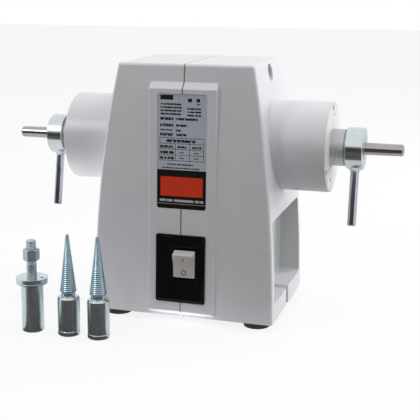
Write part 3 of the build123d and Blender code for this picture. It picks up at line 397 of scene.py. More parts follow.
copper_wire = turned_metal("copper_wire", (0.50, 0.20, 0.09), (0.66, 0.29, 0.14), 0.30, 1400.0, 0.30)
core_sheets = turned_metal("core_sheets", (0.20, 0.20, 0.21), (0.30, 0.30, 0.31), 0.42, 2000.0, 0.25)
brass = turned_metal("brass", (0.60, 0.44, 0.18), (0.72, 0.54, 0.25), 0.28, 900.0, 0.10, ALONG_Z)
print("thirteen turned metals made")

# %% [markdown]
# ## Plastics and rubber
# Moulded plastic has a fine sparkle texture, rubber a duller and coarser one. The bump stays low.

# %% Moulded finishes


def moulded(name, low, high, roughness, grain, strength, **sockets):
    """Moulded plastic or rubber: slight cloud in the colour, fine grain in the surface."""
    finish = Finish(name, roughness=roughness, **sockets)
    finish.colour(finish.ramp(finish.noise(60.0, 3.0), low, high))
    fine = finish.noise(grain, 2.0)
    finish.roughness(finish.spread(fine, roughness - 0.04, roughness + 0.06))
    finish.bump(fine, strength, 0.0001)
    return finish.material


gloss_black = moulded("gloss_black", (0.0015, 0.0015, 0.0016), (0.003, 0.003, 0.0032), 0.14, 500.0, 0.02,
                      Specular_IOR_Level=0.3)
matt_black = moulded("matt_black", (0.003, 0.003, 0.0032), (0.006, 0.006, 0.0064), 0.5, 1500.0, 0.05,
                     Specular_IOR_Level=0.1)
rubber = moulded("foot_rubber", (0.014, 0.014, 0.015), (0.032, 0.032, 0.033), 0.62, 900.0, 0.30)
rocker_plastic = moulded("rocker_plastic", (0.60, 0.575, 0.55), (0.65, 0.625, 0.60), 0.36, 1200.0, 0.06)
mark_grey = moulded("mark_grey", (0.035, 0.035, 0.036), (0.06, 0.06, 0.062), 0.50, 900.0, 0.05)
grey_plastic = moulded("grey_plastic", (0.30, 0.31, 0.32), (0.36, 0.37, 0.38), 0.42, 1200.0, 0.08)
pale_plastic = moulded("pale_plastic", (0.66, 0.65, 0.60), (0.72, 0.71, 0.66), 0.40, 1200.0, 0.08)
print("seven moulded finishes made")

# %% [markdown]
# ## Rating plate
# The plate is printed metal: a silver field above, a black field below. Its real print is left off, so
# plain rules and dashes stand in for rows of figures, and plain bars for the heading. The print is drawn
# with masks on Object coordinates: a band is 1 between two heights, and products of bands make boxes.

# %% Printed plate
LABEL_HALF = 24.5
LABEL_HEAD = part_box("rating_plate")[1].z


def printed_plate():
    """Silver and black fields with ruled lines, dash rows and two plain bars."""
    finish = Finish("printed_plate", roughness=0.42, Specular_IOR_Level=0.25)
    x, _, z = finish.node("ShaderNodeSeparateXYZ", {0: finish.place}).outputs

    def band(value, low, high):
        above = finish.math("GREATER_THAN", value, low * MM)
        return finish.math("MULTIPLY", above, finish.math("LESS_THAN", value, high * MM))

    def box(left, right, low, high):
        return finish.math("MULTIPLY", band(x, left, right), band(z, low, high))

    def either(*masks):
        total = masks[0]
        for mask in masks[1:]:
            total = finish.math("MAXIMUM", total, mask)
        return total

    def rows(left, right, low, high, pitch, fill, dash):
        """Dash rows: stripes in height, broken up along x by noise that changes from row to row."""
        rise = finish.math("DIVIDE", finish.math("SUBTRACT", z, low * MM), pitch * MM)
        stripe = finish.math("LESS_THAN", finish.math("FRACT", rise), fill)
        row = finish.math("FLOOR", finish.math("ADD", rise, high))
        step = finish.math("MULTIPLY", x, dash)
        spot = finish.node("ShaderNodeCombineXYZ", {0: step, 1: row, 2: row}).outputs[0]
        gaps = finish.math("GREATER_THAN", finish.noise(1.0, 0.0, spot), 0.40)
        return finish.math("MULTIPLY", finish.math("MULTIPLY", stripe, gaps), box(left, right, low, high))

    head = LABEL_HEAD / MM

    def print_box(left, right, top, bottom):
        """Box given from the plate's left edge and its head, as a printer would measure it."""
        return box(left - LABEL_HALF, right - LABEL_HALF, head - bottom, head - top)

    def print_rows(left, right, top, bottom, pitch, fill, dash):
        return rows(left - LABEL_HALF, right - LABEL_HALF, head - bottom, head - top, pitch, fill, dash)

    heading = either(print_box(2.6, 15.6, 1.2, 5.8), print_box(30.0, 34.0, 4.0, 7.4),
                     print_box(38.4, 42.0, 4.0, 7.4), print_box(38.6, 42.2, 9.0, 10.0))
    address = either(print_rows(2.4, 24.0, 7.6, 20.0, 3.1, 0.55, 620.0),
                     print_rows(29.4, 43.0, 12.0, 20.8, 3.1, 0.55, 620.0))
    names = either(*[print_rows(2.6, 15.8, top, top + 3.1, 3.1, 0.86, 700.0) for top in (21.9, 28.0, 36.9)])
    answers = either(*[print_rows(18.4, right, top, top + 2.9, 2.9, 0.74, 560.0)
                       for top, right in ((21.9, 40.0), (28.0, 30.0), (32.9, 23.0), (36.9, 29.0))])
    serial = print_rows(2.6, 15.0, 33.4, 35.0, 1.6, 0.8, 620.0)
    table_rules = either(*[print_box(2.2, 46.2, top, top + 0.5) for top in (41.6, 47.0, 52.4, 57.8, 63.2)])
    table_posts = either(*[print_box(left, left + 0.5, top, 63.6) for left, top in (
        (2.2, 41.6), (45.8, 41.6), (17.8, 47.0), (31.8, 47.0))])
    table_words = either(
        print_rows(9.0, 38.0, 43.0, 46.0, 3.0, 0.9, 480.0),
        *[print_rows(3.0, 16.6, top, top + 3.0, 3.0, 0.84, 640.0) for top in (48.6, 54.0, 59.4)],
        print_rows(20.0, 29.0, 48.9, 51.4, 2.5, 0.8, 520.0),
        print_rows(34.5, 44.0, 48.9, 51.4, 2.5, 0.8, 520.0),
        *[print_box(left, left + 4.6, top, top + 0.9) for left in (22.0, 36.5) for top in (55.2, 60.4)],
    )
    notes = either(print_rows(10.0, 36.0, 66.0, 67.7, 1.7, 0.72, 640.0),
                   print_rows(4.6, 42.0, 69.6, 71.2, 1.6, 0.72, 640.0))
    ink = either(address, names, answers, serial, table_rules, table_posts, table_words, notes)
    black_field = print_box(-1.0, 50.0, 72.4, 112.0)
    red_bar = print_box(3.4, 45.6, 79.0, 97.8)
    pale_bar = either(print_rows(2.6, 46.4, 100.3, 103.2, 2.9, 0.78, 430.0),
                      print_box(0.8, 48.2, 105.0, 105.4))
    brushed = finish.noise(500.0, 2.0, finish.scaled((1.0, 1.0, 0.03)))
    silver = finish.ramp(brushed, (0.50, 0.54, 0.61), (0.58, 0.62, 0.69))
    colour = finish.mixed(heading, silver, (0.012, 0.012, 0.014))
    colour = finish.mixed(ink, colour, (0.02, 0.022, 0.03))
    colour = finish.mixed(black_field, colour, (0.006, 0.005, 0.005))
    colour = finish.mixed(red_bar, colour, (0.78, 0.055, 0.02))
    colour = finish.mixed(pale_bar, colour, (0.55, 0.55, 0.55))
    finish.colour(colour)
    finish.roughness(finish.spread(brushed, 0.38, 0.50))
    finish.bump(brushed, 0.04, 0.0001)
    return finish.material


plate_print = printed_plate()
print("printed plate up to", round(LABEL_HEAD / MM, 1), "mm")

# %% [markdown]
# ## Frame nodes that stay
# Pieces that are flat-faced, hidden or plainly right keep their shape. Each only needs the
# finish of its material, given here by name.

# %% Finishes for the kept nodes
KEPT_FINISHES = {
    cover_enamel: ("left_end_cover", "right_end_cover"),
    sheet_enamel: ("base_plate", "capacitor_clip"),
    plate_print: ("rating_plate",),
    gloss_black: ("switch_plate",),
    matt_black: ("switch_body", "power_inlet", "left_shaft_seal", "right_shaft_seal"),
    rocker_plastic: ("switch_rocker",),
    rubber: ("rubber_feet",),
    brass: ("switch_terminals", "inlet_pins"),
    grey_plastic: ("run_capacitor",),
    pale_plastic: ("terminal_block",),
    copper_wire: ("stator_windings",),
    core_sheets: ("stator_core", "rotor_core"),
    rotor_cast: ("rotor_end_rings",),
    bright_steel: (
        "left_bearing_outer", "right_bearing_outer", "left_bearing_inner", "right_bearing_inner",
        "left_bearing_balls", "right_bearing_balls", "wave_spring", "bearing_shim", "clamp_nut",
        "foot_screws", "base_screws", "inlet_screws", "left_thrust_ring", "right_thrust_ring",
    ),
    dark_steel: ("clamp_bolt", "end_cover_screws"),
    zinc_across: ("left_release_collar", "right_release_collar"),
    zinc_upright: (
        "left_lever_rod", "right_lever_rod", "wheel_arbor", "arbor_washer", "arbor_nut",
        "left_taper_spindle", "right_taper_spindle",
    ),
    ground_steel: ("spindle_shaft",),
    neck_alloy: ("left_threaded_neck", "right_threaded_neck"),
    casting_enamel: ("left_housing", "right_housing", "left_barrel", "right_barrel"),
}
for finish, names in KEPT_FINISHES.items():
    for name in names:
        nodes[name].data.materials.clear()
        nodes[name].data.materials.append(finish)
print("finished", sum(len(names) for names in KEPT_FINISHES.values()), "frame nodes")

# %% [markdown]
# ## Casting
# The two cast halves are bowed on every side, and their construction mesh is made of loose flat triangles
# that would show as bands in the gloss. A merged copy with shared corners takes smooth shading; weighting
# the normals by face size keeps the flat panel flat right up to its soft edges.

# %% Merged copies of the casting


def merged(node):
    """Points and triangles of a frame node with corners in the same place made one."""
    mesh = nodes[node].data
    points = np.zeros(len(mesh.vertices) * 3, np.float32)
    mesh.vertices.foreach_get("co", points)
    mesh.calc_loop_triangles()
    triangles = np.zeros(len(mesh.loop_triangles) * 3, np.int32)
    mesh.loop_triangles.foreach_get("vertices", triangles)
    grid = np.round(points.reshape(-1, 3) * 1e6).astype(np.int64)
    unique, place = np.unique(grid, axis=0, return_inverse=True)
    faces = place.reshape(-1)[triangles].reshape(-1, 3)
    a, b, c = faces.T
    return unique / 1e6, faces[(a != b) & (b != c) & (c != a)]


for side in ("left", "right"):
    make_piece(f"{side}_casting", [merged(f"{side}_housing")], casting_enamel, "machine",
               [f"{side}_housing"])

# %% [markdown]
# ## Motor barrels
# Each end of the motor runs in a short barrel with a generous rounded rim. It is a turned tube, so its
# section, bore and rim is carried round the spindle axis as one closed loop.

# %% Barrels
SIDES = {"left": -1.0, "right": 1.0}
BARREL_ROOT = 57.0
BARREL_END = 132.0
COVER_SEAT = 126.0
BARREL_RADIUS = 44.0
BARREL_BORE = 35.0
COVER_BORE = 42.0
barrel_section = [
    (BARREL_ROOT, BARREL_BORE), (BARREL_ROOT, BARREL_RADIUS), (BARREL_END, BARREL_RADIUS),
    (BARREL_END, COVER_BORE), (COVER_SEAT, COVER_BORE), (COVER_SEAT, BARREL_BORE),
]


def along_axis(side):
    """Turning axis that points out of the machine on that side, and a point where it crosses the middle."""
    return (0.0, AXIS_Y, AXIS_Z), (side, 0.0, 0.0)


for name, side in SIDES.items():
    place, axis = along_axis(side)
    tube = lathe(barrel_section, place, axis, 0.9, loop=True, count=160)
    make_piece(f"{name}_tube", [tube], casting_enamel, "machine", [f"{name}_barrel"])

# %% [markdown]
# ## Switch
# The rocker is a moulded bar with a hollow face and soft corners. Its section is drawn in the rocker's own
# two directions, out of the panel and up along it, and carried across; the end sections shrink a little to
# round the ends. The marks, a bar and a ring, lie on its two faces as thin raised shapes. A lip frames the
# black plate.

# %% Rocker, marks and plate lip
PANEL_LEAN = 0.031528
PANEL_FOOT = np.array([0.0, -34.87, 13.0])
PANEL_UP = np.array([0.0, math.sin(PANEL_LEAN), math.cos(PANEL_LEAN)])
PANEL_OUT = np.array([0.0, -math.cos(PANEL_LEAN), math.sin(PANEL_LEAN)])
ROCKER_LEAN = PANEL_LEAN - math.radians(12.0)
ROCKER_OUT = np.array([0.0, -math.cos(ROCKER_LEAN), math.sin(ROCKER_LEAN)])
ROCKER_UP = np.array([0.0, math.sin(ROCKER_LEAN), math.cos(ROCKER_LEAN)])
ROCKER_PIVOT = np.array(next(j["pos_m"] for j in frame["joints"] if j["name"] == "rocker_tilt")) / MM
ROCKER_HALF = 10.5
FACE_HALF = 12.0
FACE_LOW = 4.6
FACE_RISE = 2.0
rocker_section = np.array([(-2.0, -13.5), (6.6, -12.0), (4.6, 0.0), (6.6, 12.0), (-2.0, 13.5)])
rocker_rounds = np.array([[0.8], [1.4], [3.0], [2.6], [0.8]])


def on_rocker(across, out, up):
    """Points of the rocker's own frame in the machine: pivot + across * x + out * outward + up * upward."""
    flat = across[..., None] * np.array([1.0, 0.0, 0.0])
    return (ROCKER_PIVOT + flat + out[..., None] * ROCKER_OUT + up[..., None] * ROCKER_UP) * MM


def rocker_skin():
    """Rounded five-sided section repeated across the rocker, shrunk a little at both ends."""
    wrapped = np.concatenate([rocker_section[-1:], rocker_section, rocker_section[:1]])
    outline = softened(wrapped, rocker_rounds)[1:-1]
    middle = np.array([2.3, 0.0])
    ends = np.array([0.0, 0.1, 0.35, 0.8])
    shrink = np.array([0.93, 0.965, 0.99, 1.0])
    across = np.concatenate([ends - ROCKER_HALF, ROCKER_HALF - ends[::-1]])
    scale = np.concatenate([shrink, shrink[::-1]])
    rows = middle + scale[:, None, None] * (outline - middle)
    return closed_rings(on_rocker(across[:, None] + 0 * rows[..., 0], rows[..., 0], rows[..., 1]))


def face_out(up, lift):
    """How far out the hollow face stands at a height along it: a straight slope on each half, plus a lift."""
    return FACE_LOW + FACE_RISE * np.abs(up) / FACE_HALF + lift


def bar_mark(up, half_long, half_wide):
    """Upright bar with round ends: three outlines from inside the face to just above it."""
    angle = np.linspace(0, 2 * np.pi, 40, endpoint=False)
    x = half_wide * np.cos(angle)
    v = up + half_wide * np.sin(angle) + np.sign(np.sin(angle)) * (half_long - half_wide)
    lift = np.array([-0.2, 0.03, 0.05])[:, None]
    size = np.array([1.0, 1.0, 0.85])[:, None]
    return closed_rings(on_rocker(size * x, face_out(v, lift) + 0 * x, v + 0 * lift))


def ring_mark(up, outer, inner):
    """Flat ring: four circles, outer and inner at the face and just above it, joined in a loop."""
    angle = np.linspace(0, 2 * np.pi, 64, endpoint=False)
    radius = np.array([outer, outer, inner, inner])[:, None]
    lift = np.array([-0.2, 0.05, 0.05, -0.2])[:, None]
    x = radius * np.cos(angle)
    v = up + radius * np.sin(angle)
    return closed_rings(on_rocker(x, face_out(v, lift), v), loop=True)


make_piece("rocker", [rocker_skin()], rocker_plastic, "rocker", ["switch_rocker"])
make_piece("rocker_marks", [bar_mark(6.6, 2.1, 0.45), ring_mark(-6.7, 2.7, 1.85)], mark_grey, "rocker", ())

LIP_HALF = 24.75
LIP_LOW = 9.45
LIP_HIGH = 76.55
LIP_CORNER = 2.0
LIP_LEAST = 0.05
lip_section = np.array([(0.0, 0.1), (0.0, 1.2), (0.35, 1.6), (0.8, 1.7), (1.8, 1.7), (2.5, 1.1), (2.5, 0.9)])


def plate_lip():
    """Section of (inwards, outwards) pairs carried round a rectangle with round corners."""
    corner = np.linspace(0, np.pi / 2, 10)
    angle = (corner[None, :] + np.arange(4)[:, None] * np.pi / 2).reshape(-1)
    quarter = np.repeat(np.arange(4), 10)
    x_core = np.where((quarter == 0) | (quarter == 3), 1, -1) * (LIP_HALF - LIP_CORNER)
    s_core = np.where(quarter < 2, LIP_HIGH - LIP_CORNER, LIP_LOW + LIP_CORNER)
    radius = LIP_CORNER - lip_section[:, 0:1]
    round_part = np.maximum(radius, LIP_LEAST)
    past = np.minimum(radius - LIP_LEAST, 0)
    x = x_core + round_part * np.cos(angle) + past * np.sign(x_core)
    s = s_core + round_part * np.sin(angle) + past * np.where(quarter < 2, 1, -1)
    out = lip_section[:, 1:2] + 0 * x
    flat = x[..., None] * np.array([1.0, 0, 0])
    rings = PANEL_FOOT + flat + s[..., None] * PANEL_UP + out[..., None] * PANEL_OUT
    return closed_rings(rings * MM, loop=True)


make_piece("switch_plate_lip", [plate_lip()], gloss_black, "machine", ())

# %% [markdown]
# ## Threaded necks
# A neck stands out of each end cover and carries the thread that the release collar runs on. The thread is
# cut into the surface itself: the radius falls and rises as a triangle wave of the distance along the axis
# minus the turn.

# %% Necks with a cut thread
NECK_RADIUS = 18.0
NECK_FLANGE_RADIUS = 23.45
NECK_BORE_RADIUS = 13.0
NECK_BACK = 123.0
NECK_END = 157.0
THREAD_PITCH = 2.0
THREAD_DEPTH = 0.28
RELIEF_PLACE = 145.6
RELIEF_HALF = 1.0
RELIEF_DEPTH = 1.3


def thread_wave(along, count, pitch, fade_start, fade_end, fade=1.2):
    """Triangle wave 0..1 of (along / pitch - turn), faded to 0 near both ends of the threaded stretch."""
    turn = np.arange(count)[None, :] / count
    phase = np.mod(along[:, None] / pitch - turn, 1.0)
    wave = np.abs(2 * phase - 1)
    gate = np.clip((along - fade_start) / fade, 0, 1) * np.clip((fade_end - along) / fade, 0, 1)
    return wave * gate[:, None]


def threaded_neck(side):
    """Closed section: flange, threaded outside with a relief groove, rounded end, bore."""
    place, axis = along_axis(side)
    thread = np.linspace(BARREL_END + 0.5, NECK_END - 0.8, 200)
    outside = np.stack([thread, np.full_like(thread, NECK_RADIUS)], axis=1)
    before = [(NECK_BACK, NECK_BORE_RADIUS), (NECK_BACK, NECK_FLANGE_RADIUS),
              (COVER_SEAT, NECK_FLANGE_RADIUS), (COVER_SEAT, NECK_RADIUS)]
    after = [(NECK_END, NECK_RADIUS - 0.8), (NECK_END, NECK_BORE_RADIUS + 0.6),
             (NECK_END - 0.6, NECK_BORE_RADIUS)]
    profile = np.concatenate([before, outside, after])
    wave = thread_wave(profile[:, 0], TURN, THREAD_PITCH, BARREL_END + 0.6, NECK_END - 0.8)
    outer = np.abs(profile[:, 1:2] - NECK_RADIUS) < 1e-6
    relief = np.clip(1.0 - np.abs(profile[:, 0:1] - RELIEF_PLACE) / RELIEF_HALF, 0, 0.6) / 0.6
    cut = np.maximum(THREAD_DEPTH * wave, RELIEF_DEPTH * relief) * outer
    return closed_rings(turned(profile, place, axis, ridges=-cut), loop=True)


for name, side in SIDES.items():
    make_piece(f"{name}_neck", [threaded_neck(side)], neck_alloy, "machine",
               [f"{name}_threaded_neck"])

# %% [markdown]
# ## Release collars and lever rods
# A zinc-plated collar turns on each neck and pushes the tool off the taper when its lever is swung. The
# collar is a turned ring with an inner step; the boss that takes the lever flares out of it, turned about
# the lever's own axis.

# %% Collars
COLLAR_RADIUS = 20.25
COLLAR_START = 146.5
COLLAR_END = 163.0
COLLAR_FRONT_WALL = 158.0
COLLAR_BORE = 18.1
COLLAR_WINDOW = 10.8
LEVER_X = 154.75
LEVER_LEAN = math.radians(11.0)
LEVER_DIRECTION = (0.0, -math.sin(LEVER_LEAN), -math.cos(LEVER_LEAN))
collar_section = [
    (COLLAR_START, COLLAR_BORE), (COLLAR_START, COLLAR_RADIUS - 0.5), (COLLAR_START + 0.5, COLLAR_RADIUS),
    (COLLAR_END - 0.6, COLLAR_RADIUS), (COLLAR_END, COLLAR_RADIUS - 0.6), (COLLAR_END, COLLAR_WINDOW),
    (COLLAR_FRONT_WALL, COLLAR_WINDOW), (COLLAR_FRONT_WALL, COLLAR_BORE),
]
boss_profile = [(18.6, 7.6), (20.2, 6.4), (21.4, 5.3), (22.3, 4.8), (22.6, 4.5), (22.6, 4.1)]
rod_profile = [(19.5, 3.9), (22.5, 3.9), (22.9, 4.2), (74.2, 4.2), (75.0, 3.4)]
for name, side in SIDES.items():
    place, axis = along_axis(side)
    lever_place = (side * LEVER_X, AXIS_Y, AXIS_Z)
    collar = lathe(collar_section, place, axis, 0.25, loop=True)
    boss = lathe(boss_profile, lever_place, LEVER_DIRECTION, 0.5)
    make_piece(f"{name}_collar", [collar, boss], zinc_across, f"{name}_release",
               [f"{name}_release_collar"])
    make_piece(f"{name}_lever", [lathe(rod_profile, lever_place, LEVER_DIRECTION, 0.3, count=64)],
               lever_zinc, f"{name}_release", [f"{name}_lever_rod"])

# %% [markdown]
# ## Spindle shaft
# One ground shaft runs through the motor, and each end is a slow taper with a centre hole from its turning.
# The two ends mirror each other, so the profile of one end is flipped for the other.

# %% Shaft
shaft_end = np.array([
    (60.0, 12.0), (100.0, 11.0), (107.0, 10.0), (122.0, 10.0), (122.5, 9.0), (154.5, 9.0), (154.5, 6.0),
    (198.5, 5.65), (200.0, 4.15), (200.0, 1.9), (197.2, 0.5), (197.0, 0.05),
])
shaft_profile = np.concatenate([shaft_end[::-1] * (-1, 1), shaft_end])
shaft_skin = lathe(shaft_profile, (0, AXIS_Y, AXIS_Z), (1, 0, 0), 0.3)
make_piece("ground_shaft", [shaft_skin], ground_steel, "spindle", ["spindle_shaft"])

# %% [markdown]
# ## Thrust rings
# Between collar and tool sits a small hardened ring that does the pushing. It is a closed square section
# with soft corners, carried round the spindle.

# %% Thrust rings
ring_section = [(160.1, 6.3), (160.1, 10.5), (163.6, 10.5), (163.6, 6.3)]
for name, side in SIDES.items():
    place, axis = along_axis(side)
    make_piece(f"{name}_push_ring", [lathe(ring_section, place, axis, 0.4, loop=True)], bright_steel,
               f"{name}_thrust", [f"{name}_thrust_ring"])

# %% [markdown]
# ## Tapered screw spindles
# A felt cone screws itself onto the ridged cone of such a spindle. The ridge is a helix: the radius of the
# cone is lowered by a wave of height over pitch minus the turn, so the groove climbs one pitch per turn.

# %% Screw tapers
RIDGE_PITCH = 1.9
RIDGE_DEPTH = 0.42
SHOULDER_RISE = 5.0
UNDERCUT = 1.2
TIP_RADIUS = 1.5


def middle_of(node):
    """Middle x, middle y and height of a standing node, in millimetres."""
    low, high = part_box(node)
    return (low.x + high.x) / 2 / MM, (low.y + high.y) / 2 / MM, high.z / MM


set_low, set_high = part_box("left_taper_spindle")
BODY_RADIUS = (set_high.x - set_low.x) / 2 / MM
SOCKET_FOOT = 6.05
SOCKET_TOP = 5.7
SOCKET_DEPTH = 33.0
SET_FOOT = [
    (SOCKET_DEPTH, 0.05), (SOCKET_DEPTH, SOCKET_TOP), (0.4, SOCKET_FOOT), (0.0, SOCKET_FOOT + 0.4),
    (0.0, BODY_RADIUS - 1.2), (1.2, BODY_RADIUS),
]


def screw_taper(node, root, body_top):
    """Body with foot groove, shoulder and undercut, then a ridged cone; hollow below for the shaft."""
    x, y, tip_height = middle_of(node)
    cone_foot = body_top + SHOULDER_RISE
    cone = np.linspace(cone_foot + 0.6, tip_height - 0.9, 420)
    share = (cone - cone_foot) / (tip_height - cone_foot)
    cone_rows = np.stack([cone, root + (TIP_RADIUS - root) * share], axis=1)
    body = softened(SET_FOOT + [
        (4.6, BODY_RADIUS), (4.9, BODY_RADIUS - 0.35), (5.6, BODY_RADIUS - 0.35), (5.9, BODY_RADIUS),
        (body_top - 1.4, BODY_RADIUS), (body_top, BODY_RADIUS - 1.4), (body_top, root - UNDERCUT),
        (cone_foot - UNDERCUT, root - UNDERCUT), (cone_foot, root),
    ], 0.3)
    tip = np.array([(tip_height - 0.4, TIP_RADIUS - 0.1), (tip_height, TIP_RADIUS - 0.5), (tip_height, 0.05)])
    profile = np.concatenate([body, cone_rows, tip])
    wave = thread_wave(profile[:, 0], TURN, RIDGE_PITCH, cone_foot + 0.3, tip_height - 0.5)
    on_cone = (profile[:, 0:1] > cone_foot + 0.1) & (profile[:, 1:2] < root)
    depth = RIDGE_DEPTH * np.clip(profile[:, 1:2] / 3.0, 0.6, 1.0)
    return closed_rings(turned(profile, (x, y, 0), (0, 0, 1), ridges=-depth * wave * on_cone))


def two_tone(piece, upper, height):
    """Gives the faces above a height the second finish."""
    mesh = piece.data
    mesh.materials.append(upper)
    centres = np.zeros(len(mesh.polygons) * 3, np.float32)
    mesh.polygons.foreach_get("center", centres)
    mesh.polygons.foreach_set("material_index", (centres[2::3] > height * MM).astype(np.int32))
    mesh.update()


TAPERS = {"left_taper": 7.8, "right_taper": 8.2}
TAPER_BODY_TOP = 38.0
for name, root in TAPERS.items():
    skin = screw_taper(f"{name}_spindle", root, TAPER_BODY_TOP)
    screw = make_piece(f"{name}_screw", [skin], zinc_upright, name, [f"{name}_spindle"])
    two_tone(screw, blue_zinc, TAPER_BODY_TOP + 2.0)

# %% [markdown]
# ## Wheel arbor
# The third loose tool clamps a wheel between two discs. The body and lower disc are one turning with a
# threaded stud; the upper disc keeps its construction shape because of its pin hole; the nut is a six-sided
# surface whose radius is the smaller of the hexagon and a cone, which gives the curved chamfer of a real
# nut.

# %% Arbor and nut
ARBOR_X, ARBOR_Y, STUD_TOP = middle_of("wheel_arbor")
FLANGE_RADIUS = (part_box("wheel_arbor")[1].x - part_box("wheel_arbor")[0].x) / 2 / MM
DISC_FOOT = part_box("arbor_washer")[0].z / MM
FLANGE_TOP = DISC_FOOT - 0.1
FLANGE_FOOT = 45.9
STUD_RADIUS = 4.8
STUD_PITCH = 1.5
STUD_DEPTH = 0.3
NUT_FLATS = 13.6
NUT_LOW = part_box("arbor_nut")[0].z / MM
NUT_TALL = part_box("arbor_nut")[1].z / MM - NUT_LOW


def arbor_turning():
    """Body, disc and threaded stud as one profile; only the stud rows carry the thread wave."""
    body = softened(SET_FOOT + [
        (FLANGE_FOOT, BODY_RADIUS), (FLANGE_FOOT, FLANGE_RADIUS - 2.4), (FLANGE_FOOT + 1.5, FLANGE_RADIUS),
        (FLANGE_TOP - 0.6, FLANGE_RADIUS), (FLANGE_TOP, FLANGE_RADIUS - 0.6), (FLANGE_TOP, STUD_RADIUS),
    ], 0.25)
    stud = np.linspace(FLANGE_TOP + 0.4, STUD_TOP - 1.1, 300)
    stud_rows = np.stack([stud, np.full_like(stud, STUD_RADIUS)], axis=1)
    tip = np.array([(STUD_TOP - 0.9, STUD_RADIUS - 0.1), (STUD_TOP, STUD_RADIUS - 1.0), (STUD_TOP, 0.05)])
    profile = np.concatenate([body, stud_rows, tip])
    wave = thread_wave(profile[:, 0], TURN, STUD_PITCH, NUT_LOW - 4.0, STUD_TOP - 0.6)
    on_stud = np.abs(profile[:, 1:2] - STUD_RADIUS) < 1e-6
    ridges = -STUD_DEPTH * wave * on_stud
    return closed_rings(turned(profile, (ARBOR_X, ARBOR_Y, 0), (0, 0, 1), ridges=ridges))


def hex_nut():
    """Rows of min(hexagon, cone) radius up the nut, closed through a round bore."""
    count = 6 * 24
    angle = np.linspace(0, 2 * np.pi, count, endpoint=False)
    across = np.mod(angle + np.pi / 6, np.pi / 3) - np.pi / 6
    hexagon = NUT_FLATS / 2 / np.cos(across)
    height = np.concatenate([np.linspace(0, 1.4, 10), np.linspace(NUT_TALL - 1.4, NUT_TALL, 10)])
    near = np.minimum(height, NUT_TALL - height)
    cone = (NUT_FLATS / 2 - 0.15) + near / math.tan(math.radians(30))
    outside = np.minimum(hexagon[None, :], cone[:, None])
    bore = np.full((2, count), STUD_RADIUS + 0.1)
    radius = np.concatenate([bore[:1], outside, bore[1:]])
    level = np.concatenate([[0.0], height, [NUT_TALL]]) + NUT_LOW
    rings = np.stack([
        ARBOR_X + radius * np.cos(angle), ARBOR_Y + radius * np.sin(angle), level[:, None] + 0 * radius,
    ], axis=-1)
    return closed_rings(rings * MM, loop=True)


arbor_piece = make_piece("arbor_turning", [arbor_turning()], zinc_upright, "arbor", ["wheel_arbor"])
two_tone(arbor_piece, stud_zinc, FLANGE_TOP + 1.0)
make_piece("arbor_hex_nut", [hex_nut()], stud_zinc, "nut", ["arbor_nut"], math.radians(20))
make_piece("arbor_disc", [merged("arbor_washer")], zinc_upright, "washer", ["arbor_washer"])

# %% [markdown]
# ## Stage
# The floor and the room are plain white, and the world lights the machine evenly from all round, as a light
# tent does. A greyer card on the right, which the camera sees as white, sends less light back up. A dark
# cloth in front, unseen too, gives the metal its dark bands. Six soft lamps light it all. The floor is part
# shaded and part plain white, so it keeps the object's soft shadow.

# %% Floor, cloth, world and lamps
FLOOR_HALF = 6.0


def grid_sheet(name, points, finish):
    """Open sheet from a grid of points (rows, columns, 3)."""
    rows, columns, _ = points.shape
    low = np.arange(rows - 1)[:, None] * columns
    here = np.arange(columns - 1)[None, :]
    faces = np.stack([low + here, low + here + 1, low + columns + here + 1, low + columns + here], axis=-1)
    mesh = bpy.data.meshes.new(name)
    mesh.from_pydata(points.reshape(-1, 3).tolist(), [], faces.reshape(-1, 4).tolist())
    mesh.shade_smooth()
    sheet = bpy.data.objects.new(name, mesh)
    bpy.context.scene.collection.objects.link(sheet)
    mesh.materials.append(finish)
    return sheet


CARD_START = -0.02
CARD_FULL = 0.10
CARD_GREY = (0.38, 0.38, 0.38)
FLOOR_DROP = -0.0002
SEEN_SHARE = 0.85
GLOSSY_SHARE = 0.6
floor_finish = Finish("floor_paper", roughness=0.9)
over, _, _ = floor_finish.node("ShaderNodeSeparateXYZ", {0: floor_finish.place}).outputs
card_span = {"Value": over, "From Min": CARD_START, "From Max": CARD_FULL}
card = floor_finish.node("ShaderNodeMapRange", card_span).outputs[0]
watched = floor_finish.node("ShaderNodeLightPath").outputs["Is Camera Ray"]
card = floor_finish.math("MULTIPLY", card, floor_finish.math("SUBTRACT", 1.0, watched))
paper = floor_finish.ramp(floor_finish.noise(3.0), (0.93, 0.93, 0.93), (0.95, 0.95, 0.95))
floor_finish.colour(floor_finish.mixed(card, paper, CARD_GREY))


def seen_white(finish, share):
    """Rays from the camera, and those that metal sends on, see a share of plain white in the floor."""
    rays = finish.node("ShaderNodeLightPath").outputs
    straight = finish.math("MAXIMUM", rays["Is Camera Ray"], rays["Is Transmission Ray"])
    bounced = finish.math("MULTIPLY", rays["Is Glossy Ray"], GLOSSY_SHARE)
    white = finish.node("ShaderNodeEmission", {"Strength": 1.0})
    factor = finish.math("MAXIMUM", finish.math("MULTIPLY", straight, share), bounced)
    mix = finish.node("ShaderNodeMixShader", {0: factor, 1: finish.shader.outputs[0], 2: white.outputs[0]})
    finish.tree.links.new(mix.outputs[0], finish.tree.nodes["Material Output"].inputs["Surface"])


seen_white(floor_finish, SEEN_SHARE)
edge = np.linspace(-FLOOR_HALF, FLOOR_HALF, 3)
floor_points = np.stack([*np.meshgrid(edge, edge), np.full((3, 3), FLOOR_DROP)], axis=-1)
grid_sheet("floor", floor_points, floor_finish.material)

